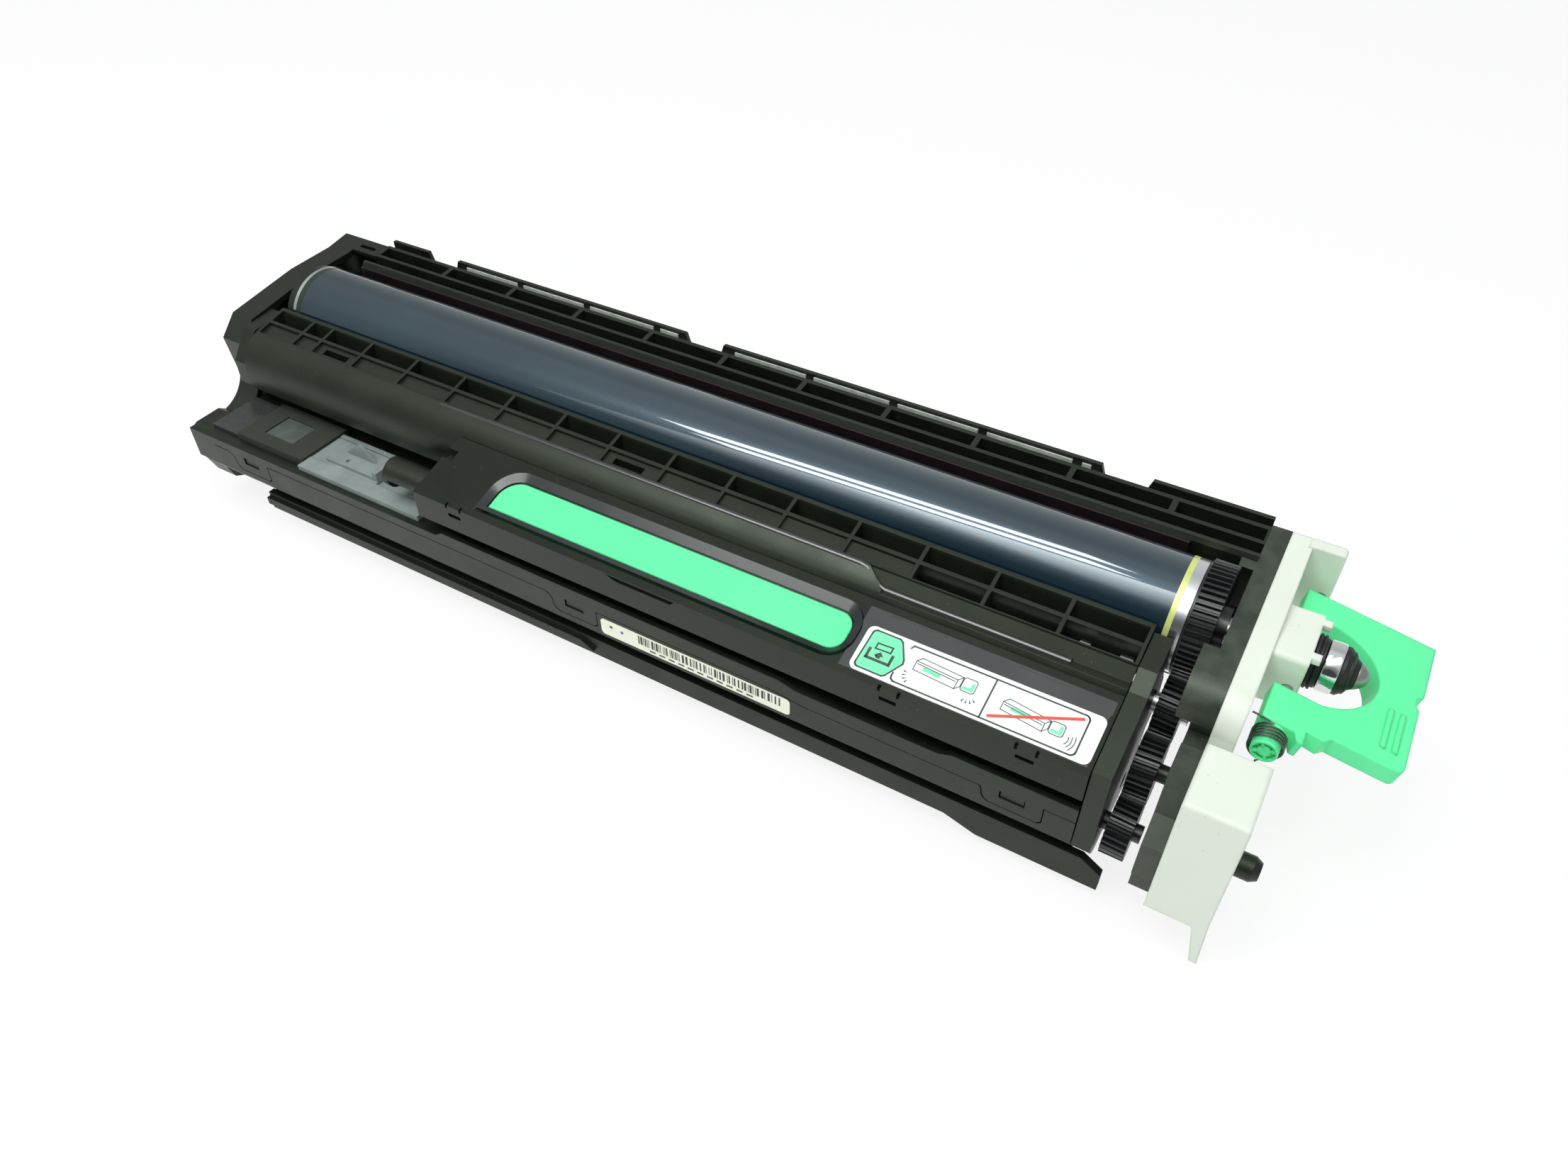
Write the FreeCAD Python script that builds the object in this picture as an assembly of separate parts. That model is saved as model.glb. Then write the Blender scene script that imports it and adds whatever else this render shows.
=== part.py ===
import FreeCAD
import Part
import math
import os

os.makedirs("parts", exist_ok=True)

# Drum unit of a laser printer, in millimetres. X runs along the drum axis from the
# left side plate to the pale faceplate, Y away from the front, Z up. The origin is on
# the drum axis, at the outer face of the left side plate.

# Clearances
runningFit = 0.05
airGap = 0.3
seatGap = 0.1

# Drum
drumRadius = 16.0
drumWall = 1.0
drumStart = 19.3
drumLength = 324.7
drumEnd = drumStart + drumLength
shaftRadius = 4.0
journalRadius = 3.0
journalLength = 7.0
journalSeat = 3.4
flangeRim = 3.0

# Gears
drumTeeth = 55
sleeveTeeth = 28
idlerTeeth = 30
screwTeeth = 26
helixAngle = 18.0
gearFace = 6.5
gearStart = drumEnd + 0.5
gearEnd = gearStart + gearFace

# Developer rollers and screws, placed from the drum outwards
sleeveRadius = 8.5
developGap = 0.4
sleeveShaftRadius = 3.0
screwShaftRadius = 2.5
screwRadius = 6.8
screwGap = 0.5
screwPitch = 32.0
flightWall = 1.6
rollerRadius = 6.0
rollerShaftRadius = 3.0
wasteRadius = 4.6
wasteShaftRadius = 2.0

# Walls and lengthwise places
caseWall = 2.4
caseStart = 16.0
caseEnd = drumEnd - 6.3
endFrameWall = 5.0
leftRim = 10.0
leftWall = 3.5
rightWall = 5.5
rightRim = 4.0
faceWall = 6.2
boxDepth = 9.8
bossDepth = 9.0
bracketDepth = 8.8
footLevel = -48.0

# Ribbed parts
ribWall = 1.2
rearRibPitch = 30.3
rearRibFirst = 54.8
coverRibPitch = 21.2
coverRibFirst = 61.7
openRowLength = 75.7

# Grip panel
panelStart = 116.8
panelWall = 2.2
gripLength = 122.5
gripMargin = 4.5
labelMargin = 1.1
labelLength = 66.6
barLabelLength = 66.5

# Front bearing
raceRadius = 7.0
raceLength = 4.2
collarLength = 2.3
cupLength = 3.0
tipLength = 3.0

# Pull lever
leverReach = 31.0
leverWall = 5.0
leverTilt = 10.0
pinRadius = 1.5
barrelRadius = 3.8
coilRadius = 4.4
coilWire = 0.5

# Toner inlet
deckWall = 1.7
gasketStart = 25.4
gasketLength = 32.0
shutterTravel = 14.5
springSolid = 8.0
latchLeft = 34.2
latchInset = 17.0
lipDepth = 1.4
tabDepth = 6.4
tabWall = 1.4


def polar(centre, radius, degrees):
    angle = math.radians(degrees)
    return (centre[0] + radius * math.cos(angle), centre[1] + radius * math.sin(angle))


def shifted(point, across, up):
    return (point[0] + across, point[1] + up)


def box(x0, x1, y0, y1, z0, z1):
    return Part.makeBox(x1 - x0, y1 - y0, z1 - z0, FreeCAD.Vector(x0, y0, z0))


def rod(radius, x0, x1, centre):
    base = FreeCAD.Vector(x0, centre[0], centre[1])
    return Part.makeCylinder(radius, x1 - x0, base, FreeCAD.Vector(1, 0, 0))


def pinAcross(radius, y0, y1, x, z):
    return Part.makeCylinder(radius, y1 - y0, FreeCAD.Vector(x, y0, z), FreeCAD.Vector(0, 1, 0))


def tube(outer, inner, x0, x1, centre):
    return rod(outer, x0, x1, centre).cut(rod(inner, x0 - 1, x1 + 1, centre))


# An outline is a list of corner points. A pair of points in it is an arc: the point
# that it passes through, then its end.
def outlineFace(place, path):
    first = place(path[0])
    last = first
    edges = []
    for step in path[1:] + [path[0]]:
        if isinstance(step[0], tuple):
            end = place(step[1])
            edges.append(Part.Arc(last, place(step[0]), end).toShape())
        else:
            end = place(step)
            if end.distanceToPoint(last) < 1e-6:
                continue
            edges.append(Part.makeLine(last, end))
        last = end
    return Part.Face(Part.Wire(edges))


def prism(x0, x1, path):
    face = outlineFace(lambda p: FreeCAD.Vector(x0, p[0], p[1]), path)
    return face.extrude(FreeCAD.Vector(x1 - x0, 0, 0))


def prismAcross(y0, y1, path):
    face = outlineFace(lambda p: FreeCAD.Vector(p[0], y0, p[1]), path)
    return face.extrude(FreeCAD.Vector(0, y1 - y0, 0))


def prismUp(z0, z1, path):
    face = outlineFace(lambda p: FreeCAD.Vector(p[0], p[1], z0), path)
    return face.extrude(FreeCAD.Vector(0, 0, z1 - z0))


# A body turned about the X axis from pairs of place along the axis and radius.
def turned(pairs, centre):
    points = [FreeCAD.Vector(x, centre[0] + r, centre[1]) for x, r in pairs]
    face = Part.Face(Part.makePolygon(points + [points[0]]))
    return face.revolve(FreeCAD.Vector(0, centre[0], centre[1]), FreeCAD.Vector(1, 0, 0), 360)


def joined(shapes):
    solid = shapes[0]
    if len(shapes) > 1:
        solid = shapes[0].fuse(shapes[1:])
    return solid.removeSplitter()


def gearOutline(teeth, module, centre, phase):
    pitchRadius = module * teeth / 2
    pitchAngle = 360.0 / teeth
    tip = pitchRadius + 0.8 * module
    root = pitchRadius - 1.1 * module
    points = []
    for tooth in range(teeth):
        middle = phase + tooth * pitchAngle
        for radius, share in ((root, -0.32), (tip, -0.11), (tip, 0.11), (root, 0.32)):
            points.append(polar(centre, radius, middle + share * pitchAngle))
    return points


def gearWire(teeth, module, x, centre, phase):
    points = gearOutline(teeth, module, centre, phase)
    corners = [FreeCAD.Vector(x, y, z) for y, z in points]
    return Part.makePolygon(corners + [corners[0]])


# A toothed wheel with its bore. A lean of zero gives straight teeth.
def gear(teeth, module, x0, x1, centre, bore, lean=0.0, phase=0.0):
    turn = math.degrees(math.tan(math.radians(lean)) * (x1 - x0) / (module * teeth / 2))
    start = gearWire(teeth, module, x0, centre, phase)
    if lean == 0.0:
        blank = Part.Face(start).extrude(FreeCAD.Vector(x1 - x0, 0, 0))
    else:
        end = gearWire(teeth, module, x1, centre, phase + turn)
        blank = Part.makeLoft([start, end], True, True)
    return blank.cut(rod(bore, x0 - 1, x1 + 1, centre))


# The phase that puts a gap of the second wheel on the line from the first wheel's tooth.
def meshPhase(fromCentre, fromTeeth, fromPhase, toCentre, toTeeth):
    line = math.degrees(math.atan2(toCentre[1] - fromCentre[1], toCentre[0] - fromCentre[0]))
    step = 360.0 / fromTeeth
    ahead = (line - fromPhase) / step
    share = ahead - math.floor(ahead)
    return line + 180.0 + (share + 0.5) * 360.0 / toTeeth


def save(name, shape):
    solids = shape.Solids
    keep = solids[0] if len(solids) == 1 else shape
    keep.exportStep("parts/" + name + ".step")
    print(name, "solids", len(solids), "valid", keep.isValid())


# Axes across the unit, each as (y, z)
drumAxis = (0.0, 0.0)
sleeveReach = drumRadius + developGap + sleeveRadius
sleeveAxis = polar(drumAxis, sleeveReach, -142.85)
gearModule = 2 * sleeveReach / (drumTeeth + sleeveTeeth)
idlerAxis = polar(sleeveAxis, gearModule * (sleeveTeeth + idlerTeeth) / 2, -150.8)
frontScrewAxis = polar(idlerAxis, gearModule * (idlerTeeth + screwTeeth) / 2, -145.8)
troughRadius = screwRadius + screwGap
screwSpacing = 2 * troughRadius + ribWall
rearScrewAxis = polar(frontScrewAxis, screwSpacing, -3.7)
rollerAxis = polar(drumAxis, drumRadius + airGap + rollerRadius, -49.9)
coverAxis = shifted(sleeveAxis, -4.65, 5.54)
coverRadius = 14.0
coverTopFront = shifted(coverAxis, -4.9, 13.8)

rearTop = 12.4
rearFront = drumRadius + 2.2
cellFront = rearFront + 7.0
cellBack = cellFront + 7.4
rearBack = cellBack + 4.0
wasteAxis = (cellFront + 3.4, -7.5)
troughWaste = wasteRadius + 0.9

frontFace = frontScrewAxis[0] - troughRadius - caseWall - 0.72
seamLevel = frontScrewAxis[1] + troughRadius + 1.0
caseFloor = frontScrewAxis[1] - troughRadius - caseWall
sleeveTrough = sleeveRadius + 0.8
lidFoot = sleeveAxis[0] - 7.4
deckTop = seamLevel + deckWall
panelBack = shifted(coverAxis, -9.85, 9.35)
panelFront = (frontFace, seamLevel + 17.3)
panelSlope = (panelBack[1] - panelFront[1]) / (panelBack[0] - panelFront[0])

# Lengthwise places
deckReach = 12.0
labelEnd = caseEnd - labelMargin
labelStart = labelEnd - labelLength
gripEnd = labelStart - gripMargin
gripStart = gripEnd - gripLength
barLabelStart = gripStart + 44.5
openRowStart = caseEnd - openRowLength
endFrameStart = caseEnd + 0.3
endFrameEnd = endFrameStart + endFrameWall
rightStart = gearEnd + 3.0
frameStart = leftRim + deckReach
frameEnd = rightStart
rightEnd = rightStart + rightWall
faceEnd = rightEnd + faceWall
bossEnd = faceEnd + bossDepth
raceStart = bossEnd + collarLength + 0.8
raceEnd = raceStart + raceLength
cupEnd = raceEnd + cupLength
tipStart = cupEnd + 0.1


# Drum tube with its coating, open at both ends
drumTube = tube(drumRadius, drumRadius - drumWall, drumStart, drumEnd, drumAxis)
save("drum_tube", drumTube)

# Left flange: a plug in the tube with a rim outside it and the gear that turns the
# waste screw
wasteDrumTeeth = 12
wasteIdlerTeeth = 20
wasteScrewTeeth = 8
wasteBend = 1.0146
wasteSpan = math.hypot(wasteAxis[0], wasteAxis[1])
wasteModule = 2 * wasteBend * wasteSpan / (wasteDrumTeeth + 2 * wasteIdlerTeeth + wasteScrewTeeth)
wasteGearStart = leftWall + 0.7
wasteGearEnd = wasteGearStart + 4.6
plugRadius = drumRadius - drumWall - seatGap / 2
boreRadius = shaftRadius + runningFit
leftFlange = turned([
    (leftRim + 1.2, boreRadius),
    (leftRim + 1.2, 8.0),
    (drumStart - flangeRim, 8.0),
    (drumStart - flangeRim, drumRadius - 0.4),
    (drumStart, drumRadius - 0.4),
    (drumStart, plugRadius),
    (drumStart + 9.0, plugRadius),
    (drumStart + 9.0, boreRadius),
], drumAxis)
save("drum_flange_left", leftFlange)

# Right flange: plug, short collar and the helical ring gear that drives the developer
gearLean = -helixAngle
drumGear = gear(drumTeeth, gearModule, gearStart, gearEnd, drumAxis, boreRadius, gearLean, 0.0)
rightPlug = turned([
    (drumEnd - 8.0, boreRadius),
    (drumEnd - 8.0, plugRadius),
    (drumEnd, plugRadius),
    (drumEnd, drumRadius + 0.4),
    (gearStart, drumRadius + 0.4),
    (gearStart, 6.5),
    (gearEnd, 6.5),
    (gearEnd + 2.4, 6.5),
    (gearEnd + 2.4, boreRadius),
], drumAxis)
save("drum_gear_flange", joined([drumGear, rightPlug]))

# Drum shaft with the rear journal and the front cone tip
noseRadius = 2.9
tipRadius = 2.35
drumShaft = turned([
    (-journalLength, 0.0),
    (-journalLength, journalRadius - 0.5),
    (0.5 - journalLength, journalRadius),
    (0.0, journalRadius),
    (0.0, journalSeat),
    (leftRim, journalSeat),
    (leftRim, shaftRadius),
    (bossEnd, shaftRadius),
    (bossEnd, noseRadius),
    (tipStart + 1.2, noseRadius),
    (tipStart + 1.2, tipRadius),
    (tipStart + tipLength, 0.6),
    (tipStart + tipLength + 0.4, 0.0),
], drumAxis)
save("drum_shaft", drumShaft)

# Gear on the drum shaft inside the left plate, for the waste screw
wasteDriver = gear(wasteDrumTeeth, wasteModule, wasteGearStart, wasteGearEnd, drumAxis,
                   journalSeat + runningFit)
save("waste_drive_gear", wasteDriver)


# The waste idler's axis, from the two centre distances of its gears
nearLine = wasteModule * (wasteDrumTeeth + wasteIdlerTeeth) / 2
farLine = wasteModule * (wasteIdlerTeeth + wasteScrewTeeth) / 2
cosine = (nearLine ** 2 + wasteSpan ** 2 - farLine ** 2) / (2 * nearLine * wasteSpan)
spanTurn = math.degrees(math.atan2(wasteAxis[1], wasteAxis[0]))
wasteIdlerAxis = polar(drumAxis, nearLine, spanTurn - math.degrees(math.acos(cosine)))
wasteStud = 2.0

# Left side plate: outer wall with a rim that points inwards and a deck at the rear
plateTop = [
    (cellBack - 0.7, rearTop),
    (rearFront + 4.1, rearTop - 1.7),
    (3.4, rearTop - 2.4),
    shifted(coverAxis, -0.8, 15.2),
    shifted(coverAxis, -7.9, 8.4),
    shifted(coverAxis, -6.5, -7.3),
    (shifted(coverAxis, -10.1, -13.1), (frontFace + 17.85, seamLevel - 1.83)),
    (frontFace + 15.25, seamLevel - 0.13),
    (frontFace + 5.45, seamLevel - 0.33),
    (frontFace + 2.35, seamLevel - 1.93),
    (frontFace + 2.05, seamLevel - 10.83),
    (frontFace + 6.35, footLevel + 1.5),
    (frontFace + 9.35, footLevel),
    (rearBack - 3.0, footLevel),
    (rearBack, footLevel + 3.0),
    (rearBack, 3.0),
    (cellBack, 6.0),
    (cellBack, rearTop - 0.4),
]


def insetOutline(path, wall):
    face = outlineFace(lambda p: FreeCAD.Vector(0, p[0], p[1]), path)
    return face.makeOffset2D(-wall)


rimWall = 2.2
leftPlate = prism(0, leftRim, plateTop)
hollow = insetOutline(plateTop, rimWall).extrude(FreeCAD.Vector(leftRim, 0, 0))
hollow.translate(FreeCAD.Vector(leftWall, 0, 0))
leftPlate = leftPlate.cut(hollow)
leftPlate = leftPlate.cut(rod(journalSeat + runningFit, -1, leftRim, drumAxis))
rearDeck = prism(leftRim, frameStart, [
    (cellFront, 9.6),
    (cellFront, rearTop - 1.2),
    (cellBack - 0.7, rearTop),
    (cellBack, rearTop - 0.4),
    (cellBack, -20.0),
    (cellBack - 2.0, -20.0),
    (cellBack - 2.0, 9.6),
])
deckSlot = box(leftRim + 1.5, leftRim + 9.0, cellFront + 2.2, cellFront + 3.8, 8.0, 14.0)
stud = rod(wasteStud, leftWall - 1, wasteGearEnd, wasteIdlerAxis)
leftPlate = joined([leftPlate, rearDeck, stud]).cut(deckSlot)
save("left_side_plate", leftPlate)


# Inner end walls. Each is a plate with bores for the rollers and screws.
def endWall(x0, x1, path, bores):
    wall = prism(x0, x1, path)
    for radius, centre in bores:
        wall = wall.cut(rod(radius + runningFit, x0 - 1, x1 + 1, centre))
    return wall


drumWindow = drumRadius + 1.6
developerBores = [
    (sleeveShaftRadius, sleeveAxis),
    (screwShaftRadius, frontScrewAxis),
    (screwShaftRadius, rearScrewAxis),
]
caseOuter = [
    (frontFace, seamLevel),
    (frontFace, seamLevel - 10.13),
    polar(frontScrewAxis, troughRadius + caseWall, 201),
    (polar(frontScrewAxis, troughRadius + caseWall, 235), (frontScrewAxis[0], caseFloor)),
    (rearScrewAxis[0] + 9.0, caseFloor),
    (rearScrewAxis[0] + 11.0, rearScrewAxis[1] - 6.0),
    (sleeveAxis[0] + 2.0, sleeveAxis[1] - 12.6),
    (sleeveAxis[0] + 9.2, sleeveAxis[1] - 11.0),
    (sleeveAxis[0] + 10.6, sleeveAxis[1] - 8.4),
]
endOutline = caseOuter[1:] + [
    (sleeveAxis[0] + 9.4, sleeveAxis[1] - 6.2),
    shifted(coverAxis, 9.9, 7.5),
    shifted(coverAxis, 6.9, 15.9),
    coverTopFront,
    (panelBack[0] - 0.6, panelBack[1] + 0.6),
    (panelFront[0] + 1.0, panelFront[1] + 1.0),
]
drumClear = rod(drumWindow, caseStart - 10, gearEnd, drumAxis)
rightEndFrame = endWall(endFrameStart, endFrameEnd, endOutline, developerBores).cut(drumClear)

leftEndStart = leftRim + airGap
leftOutline = caseOuter[2:] + [
    (sleeveAxis[0] + 9.4, sleeveAxis[1] - 6.2),
    shifted(coverAxis, 9.9, 7.5),
    shifted(coverAxis, 9.1, 15.5),
    shifted(coverAxis, -5.0, 14.2),
    polar(coverAxis, coverRadius - 0.4, 160),
    polar(coverAxis, coverRadius - 0.4, 196),
    (lidFoot + airGap, seamLevel + 3.27),
    (lidFoot + airGap, seamLevel - seatGap),
    (frontFace + 2.5, seamLevel - seatGap),
    (frontFace + 2.5, seamLevel - 10.13),
]
leftEndFrame = endWall(leftEndStart, caseStart - airGap, leftOutline, developerBores)
leftEndFrame = leftEndFrame.cut(drumClear)
save("developer_end_left", leftEndFrame)


# Skirts of the lid that hang over the front of the case, each with a latch window
latchRight = caseEnd - latchInset
lowSeam = caseEnd - 84.7
latchPlaces = [latchLeft, (latchLeft + latchRight) / 2, latchRight]


def skirt(place, deep, margin):
    left = place - margin
    right = place + margin
    foot = seamLevel - lipDepth - margin
    return prismAcross(frontFace, frontFace + deep, [
        (left - 13.0, seamLevel - margin),
        (left - 13.0, foot),
        (left - 12.0, foot),
        ((left - 9.4, foot - 0.9), (left - 8.3, foot - tabDepth / 2)),
        ((left - 7.4, foot - tabDepth + 0.9), (left - 5.0, foot - tabDepth)),
        (right + 7.4, foot - tabDepth),
        (right + 8.4, foot - tabDepth + 1.0),
        (right + 8.4, seamLevel - margin),
    ])


# The lip of the lid along the front of the case, lower towards the right
def lip(deep, margin):
    foot = seamLevel - lipDepth - margin
    low = foot - lipDepth
    return prismAcross(frontFace, frontFace + deep, [
        (caseStart, seamLevel + margin),
        (caseStart, foot),
        (lowSeam - 6.0 - margin, foot),
        ((lowSeam - 2.6 - margin, foot - 0.3), (lowSeam - margin, foot - lipDepth / 2)),
        ((lowSeam + 2.6 - margin, low + 0.3), (lowSeam + 6.0 - margin, low)),
        (latchRight, low),
        (latchRight, foot),
        (caseEnd, foot),
        (caseEnd, seamLevel + margin),
    ])


def latchBlock(place, deep, margin):
    return box(place - 3.3 - margin, place + 3.3 + margin, frontFace + deep, frontFace + tabWall + airGap,
               seamLevel - 4.3 - margin, seamLevel - 2.1 + margin)


# Lower developer case: two screw troughs and the sleeve trough in one moulding
bodyOutline = caseOuter + [
    (sleeveAxis[0] + 9.6, sleeveAxis[1] - 5.2),
    polar(sleeveAxis, sleeveTrough, -30),
    (polar(sleeveAxis, sleeveTrough, -80), polar(sleeveAxis, sleeveTrough, -128)),
    (lidFoot + airGap, seamLevel + deckWall),
    (lidFoot + airGap, seamLevel),
]
lowerCase = prism(caseStart, caseEnd, bodyOutline)
pairModule = 2 * screwSpacing / 32
pairTeeth = 16
pairStart = caseStart + 1.8
pairEnd = pairStart + 4.2
pairTip = pairModule * (pairTeeth / 2 + 1.0)
for centre in (frontScrewAxis, rearScrewAxis):
    lowerCase = lowerCase.cut(rod(troughRadius, pairStart - airGap, caseEnd - 2.0, centre))
    lowerCase = lowerCase.cut(rod(pairTip, pairStart - airGap, pairEnd + airGap, centre))
    mouth = box(pairStart - airGap, caseEnd - 2.0, centre[0] - troughRadius,
                min(centre[0] + troughRadius, lidFoot - 4.0), centre[1], seamLevel + 12.0)
    lowerCase = lowerCase.cut(mouth)
    shaftHole = rod(screwShaftRadius + runningFit, caseStart - 1, caseEnd + 1, centre)
    lowerCase = lowerCase.cut(shaftHole)
apronStart = 4.0
apronWall = 2.0
apron = box(apronStart, caseStart, frontFace, frontFace + apronWall, seamLevel - 10.13, seamLevel)
lowerCase = lowerCase.cut(lip(tabWall + airGap, airGap))
for place in latchPlaces:
    lowerCase = lowerCase.cut(skirt(place, tabWall + airGap, airGap))
latchNubs = [latchBlock(place, 0.4, 0.0) for place in latchPlaces]
save("developer_case", joined([lowerCase, apron] + latchNubs))

# Rail under the case, a long skirt with a deeper right end
rail = prismAcross(frontFace + 3.0, frontFace + 5.4, [
    (33.0, caseFloor),
    (endFrameEnd - 2.0, caseFloor),
    (endFrameEnd + 4.0, caseFloor - 4.0),
    (endFrameEnd + 4.0, caseFloor - 10.4),
    (caseEnd - 25.7, caseFloor - 10.4),
    (caseEnd - 35.7, caseFloor - 7.1),
    (33.0, caseFloor - 7.1),
])
railSeat = box(34.0, caseEnd, frontFace + 5.4, frontScrewAxis[0] + 4.0, caseFloor - 2.2, caseFloor)
railRib = prismAcross(frontFace + 1.6, frontFace + 3.0, [
    (33.0, caseFloor - 1.6),
    (176.0, caseFloor - 1.6),
    (181.0, caseFloor - 4.4),
    (33.0, caseFloor - 4.4),
])
save("lower_rail", joined([rail, railSeat, railRib]))

# Lid over the screws. Its left part is the open deck with the toner inlet.
inletStart = gasketStart + 8.0
inletEnd = inletStart + 14.0
inletFront = frontFace + 9.35
inletBack = inletFront + 11.0
lid = prism(leftEndStart, caseEnd, [
    (frontFace, seamLevel),
    (lidFoot, seamLevel),
    (lidFoot, deckTop),
    (frontFace, deckTop),
])
stripTop = seamLevel + 3.5
stripLow = seamLevel + 2.0
strip = prismAcross(frontFace, frontFace + 1.8, [
    (panelStart + 5.2, deckTop),
    (panelStart + 8.2, stripTop),
    (lowSeam - 3.0, stripTop),
    (lowSeam + 3.0, stripLow),
    (caseEnd - 39.0, stripLow),
    (caseEnd - 35.0, stripTop),
    (caseEnd, stripTop),
    (caseEnd, deckTop),
])
lidApron = box(apronStart, leftEndStart, frontFace, frontFace + apronWall, seamLevel, deckTop)
skirts = [lip(tabWall, 0.0)] + [skirt(place, tabWall, 0.0) for place in latchPlaces]
lid = joined([lid, strip, lidApron] + skirts)
for place in latchPlaces:
    lid = lid.cut(latchBlock(place, -1.0, airGap))
inletHole = box(inletStart, inletEnd, inletFront, inletBack, seamLevel - 1, deckTop + 1)
pairRoom = rod(pairTip + airGap, pairStart - airGap, pairEnd + airGap, frontScrewAxis)
lid = lid.cut(inletHole).cut(pairRoom)
save("developer_lid", lid)

# Ribbed cover: sloping top with two rows of pockets, round front, valley wall
coverTopBack = polar(drumAxis, drumRadius + 1.3, 154.6)
coverSlope = (coverTopBack[1] - coverTopFront[1]) / (coverTopBack[0] - coverTopFront[0])
inner = coverRadius - 2.0
coverPath = [
    coverTopBack,
    coverTopFront,
    (polar(coverAxis, coverRadius, 150), polar(coverAxis, coverRadius, 198)),
    ((lidFoot - 5.65, deckTop + 5.57), (lidFoot - 1.95, deckTop + 0.87)),
    (lidFoot - 1.95, deckTop + seatGap),
    (lidFoot + airGap, deckTop + seatGap),
    ((lidFoot - 3.05, deckTop + 6.37), polar(coverAxis, inner, 196)),
    (polar(coverAxis, inner, 150), polar(coverAxis, inner, 112)),
    shifted(coverAxis, 0.5, 7.1),
    polar(drumAxis, drumRadius + 1.3, 186),
    (polar(drumAxis, drumRadius + 1.3, 170), coverTopBack),
]
cover = prism(caseStart, caseEnd, coverPath)


def coverLevel(y):
    return coverTopFront[1] + coverSlope * (y - coverTopFront[0])


coverRibs = [33.2, 42.8]
while coverRibs[-1] < caseEnd - coverRibPitch:
    coverRibs.append(coverRibFirst + coverRibPitch * (len(coverRibs) - 2))
coverRibs = [caseStart + ribWall / 2] + coverRibs
rowSplit = coverAxis[0] + 1.6
rowFront = coverTopFront[0] + 0.8
deepPocket = [
    polar(drumAxis, drumRadius + 2.6, 154.0),
    polar(drumAxis, drumRadius + 2.6, 180.5),
    (rowSplit + 0.6, coverAxis[1] + 8.6),
    (rowSplit + 0.6, 12.0),
    (rowSplit + 6.9, 12.0),
]
openPocket = [
    (rowSplit - 0.6, 12.0),
    (rowSplit - 0.6, coverAxis[1] + 5.5),
    (rowFront, coverAxis[1] + 5.5),
    (rowFront, 12.0),
]
shallowPocket = [
    (rowSplit - 0.6, 12.0),
    (rowSplit - 0.6, coverLevel(rowSplit) - 1.2),
    (rowFront, coverLevel(rowFront) - 1.2),
    (rowFront, 12.0),
]
for left, right in zip(coverRibs, coverRibs[1:] + [caseEnd - ribWall / 2]):
    x0 = left + ribWall / 2
    x1 = right - ribWall / 2
    if x1 - x0 < 3.0:
        continue
    cover = cover.cut(prism(x0, x1, deepPocket))
    row = openPocket if left > openRowStart else shallowPocket
    cover = cover.cut(prism(x0, x1, row))

# Slots in two of the shallow cells, and the lower front edge over the open ones
slotPlaces = [coverRibs[2] + 9.5, coverRibs[len(coverRibs) // 2] + 9.5]
for place in slotPlaces:
    slot = box(place - 5.5, place + 5.5, rowFront + 1.4, rowSplit - 2.0, coverAxis[1] + 9.3, 20)
    cover = cover.cut(slot)
lowStart = openRowStart + 6.0
lowEdge = prism(openRowStart - 1.0, caseEnd + 1, [
    shifted(coverAxis, -4.5, 21.5),
    shifted(coverAxis, -4.5, 13.1),
    shifted(coverAxis, -7.4, 9.9),
    shifted(coverAxis, -11.5, 9.9),
    shifted(coverAxis, -11.5, 21.5),
])
lowEdge = lowEdge.common(prismUp(seamLevel, 20, [
    (lowStart - 6.5, coverAxis[0] - 4.4),
    (lowStart, coverAxis[0] - 9.5),
    (lowStart, coverAxis[0] - 12.0),
    (caseEnd + 1, coverAxis[0] - 12.0),
    (caseEnd + 1, coverAxis[0] - 4.4),
]))
cover = cover.cut(lowEdge)

# Steel rod with its two hubs, seen through the open slots
rodRadius = 1.4
rodAxis = (rowSplit - 3.2, coverAxis[1] + 9.7)
rodStart = openRowStart - 2.0
rodEnd = endFrameStart + 3.0
cover = cover.cut(rod(rodRadius + runningFit, rodStart - airGap, rodEnd, rodAxis))
rightEndFrame = rightEndFrame.cut(rod(rodRadius + runningFit, caseEnd, rodEnd + airGap, rodAxis))
save("developer_end_right", rightEndFrame)
save("developer_cover", cover)
hubs = [rod(2.3, caseEnd - x0, caseEnd - x1, rodAxis) for x0, x1 in ((16.0, 13.1), (5.2, 1.7))]
save("developer_rod", joined([rod(rodRadius, rodStart, rodEnd, rodAxis)] + hubs))


# Grip panel: sloping top, upright front strip, open underneath
panelFoot = (frontFace, seamLevel + 7.7)


def panelLevel(y):
    return panelBack[1] + panelSlope * (y - panelBack[0])


panelInner = panelFront[0] + panelWall
panelUnder = panelWall / math.cos(math.atan(panelSlope))
panelPath = [
    panelBack,
    panelFront,
    panelFoot,
    (panelInner, panelFoot[1]),
    (panelInner, panelLevel(panelInner) - panelUnder),
    (panelBack[0] - 0.9, panelLevel(panelBack[0] - 0.9) - panelUnder),
]
panel = prism(panelStart, caseEnd, panelPath)
panelSide = prism(panelStart, panelStart + 1.8, [
    panelBack,
    panelFront,
    panelFoot,
    (panelFoot[0] + 7.0, panelFoot[1]),
    (panelFoot[0] + 7.0, panelFoot[1] + 3.5),
    (panelFoot[0] + 14.0, panelFoot[1] + 3.5),
    (panelFoot[0] + 14.0, panelFoot[1]),
    (panelBack[0] - 3.15, panelFoot[1] + 0.8),
])
panel = joined([panel, panelSide]).cut(rod(coverRadius + 0.5, caseStart, caseEnd + 1, coverAxis))


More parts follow.
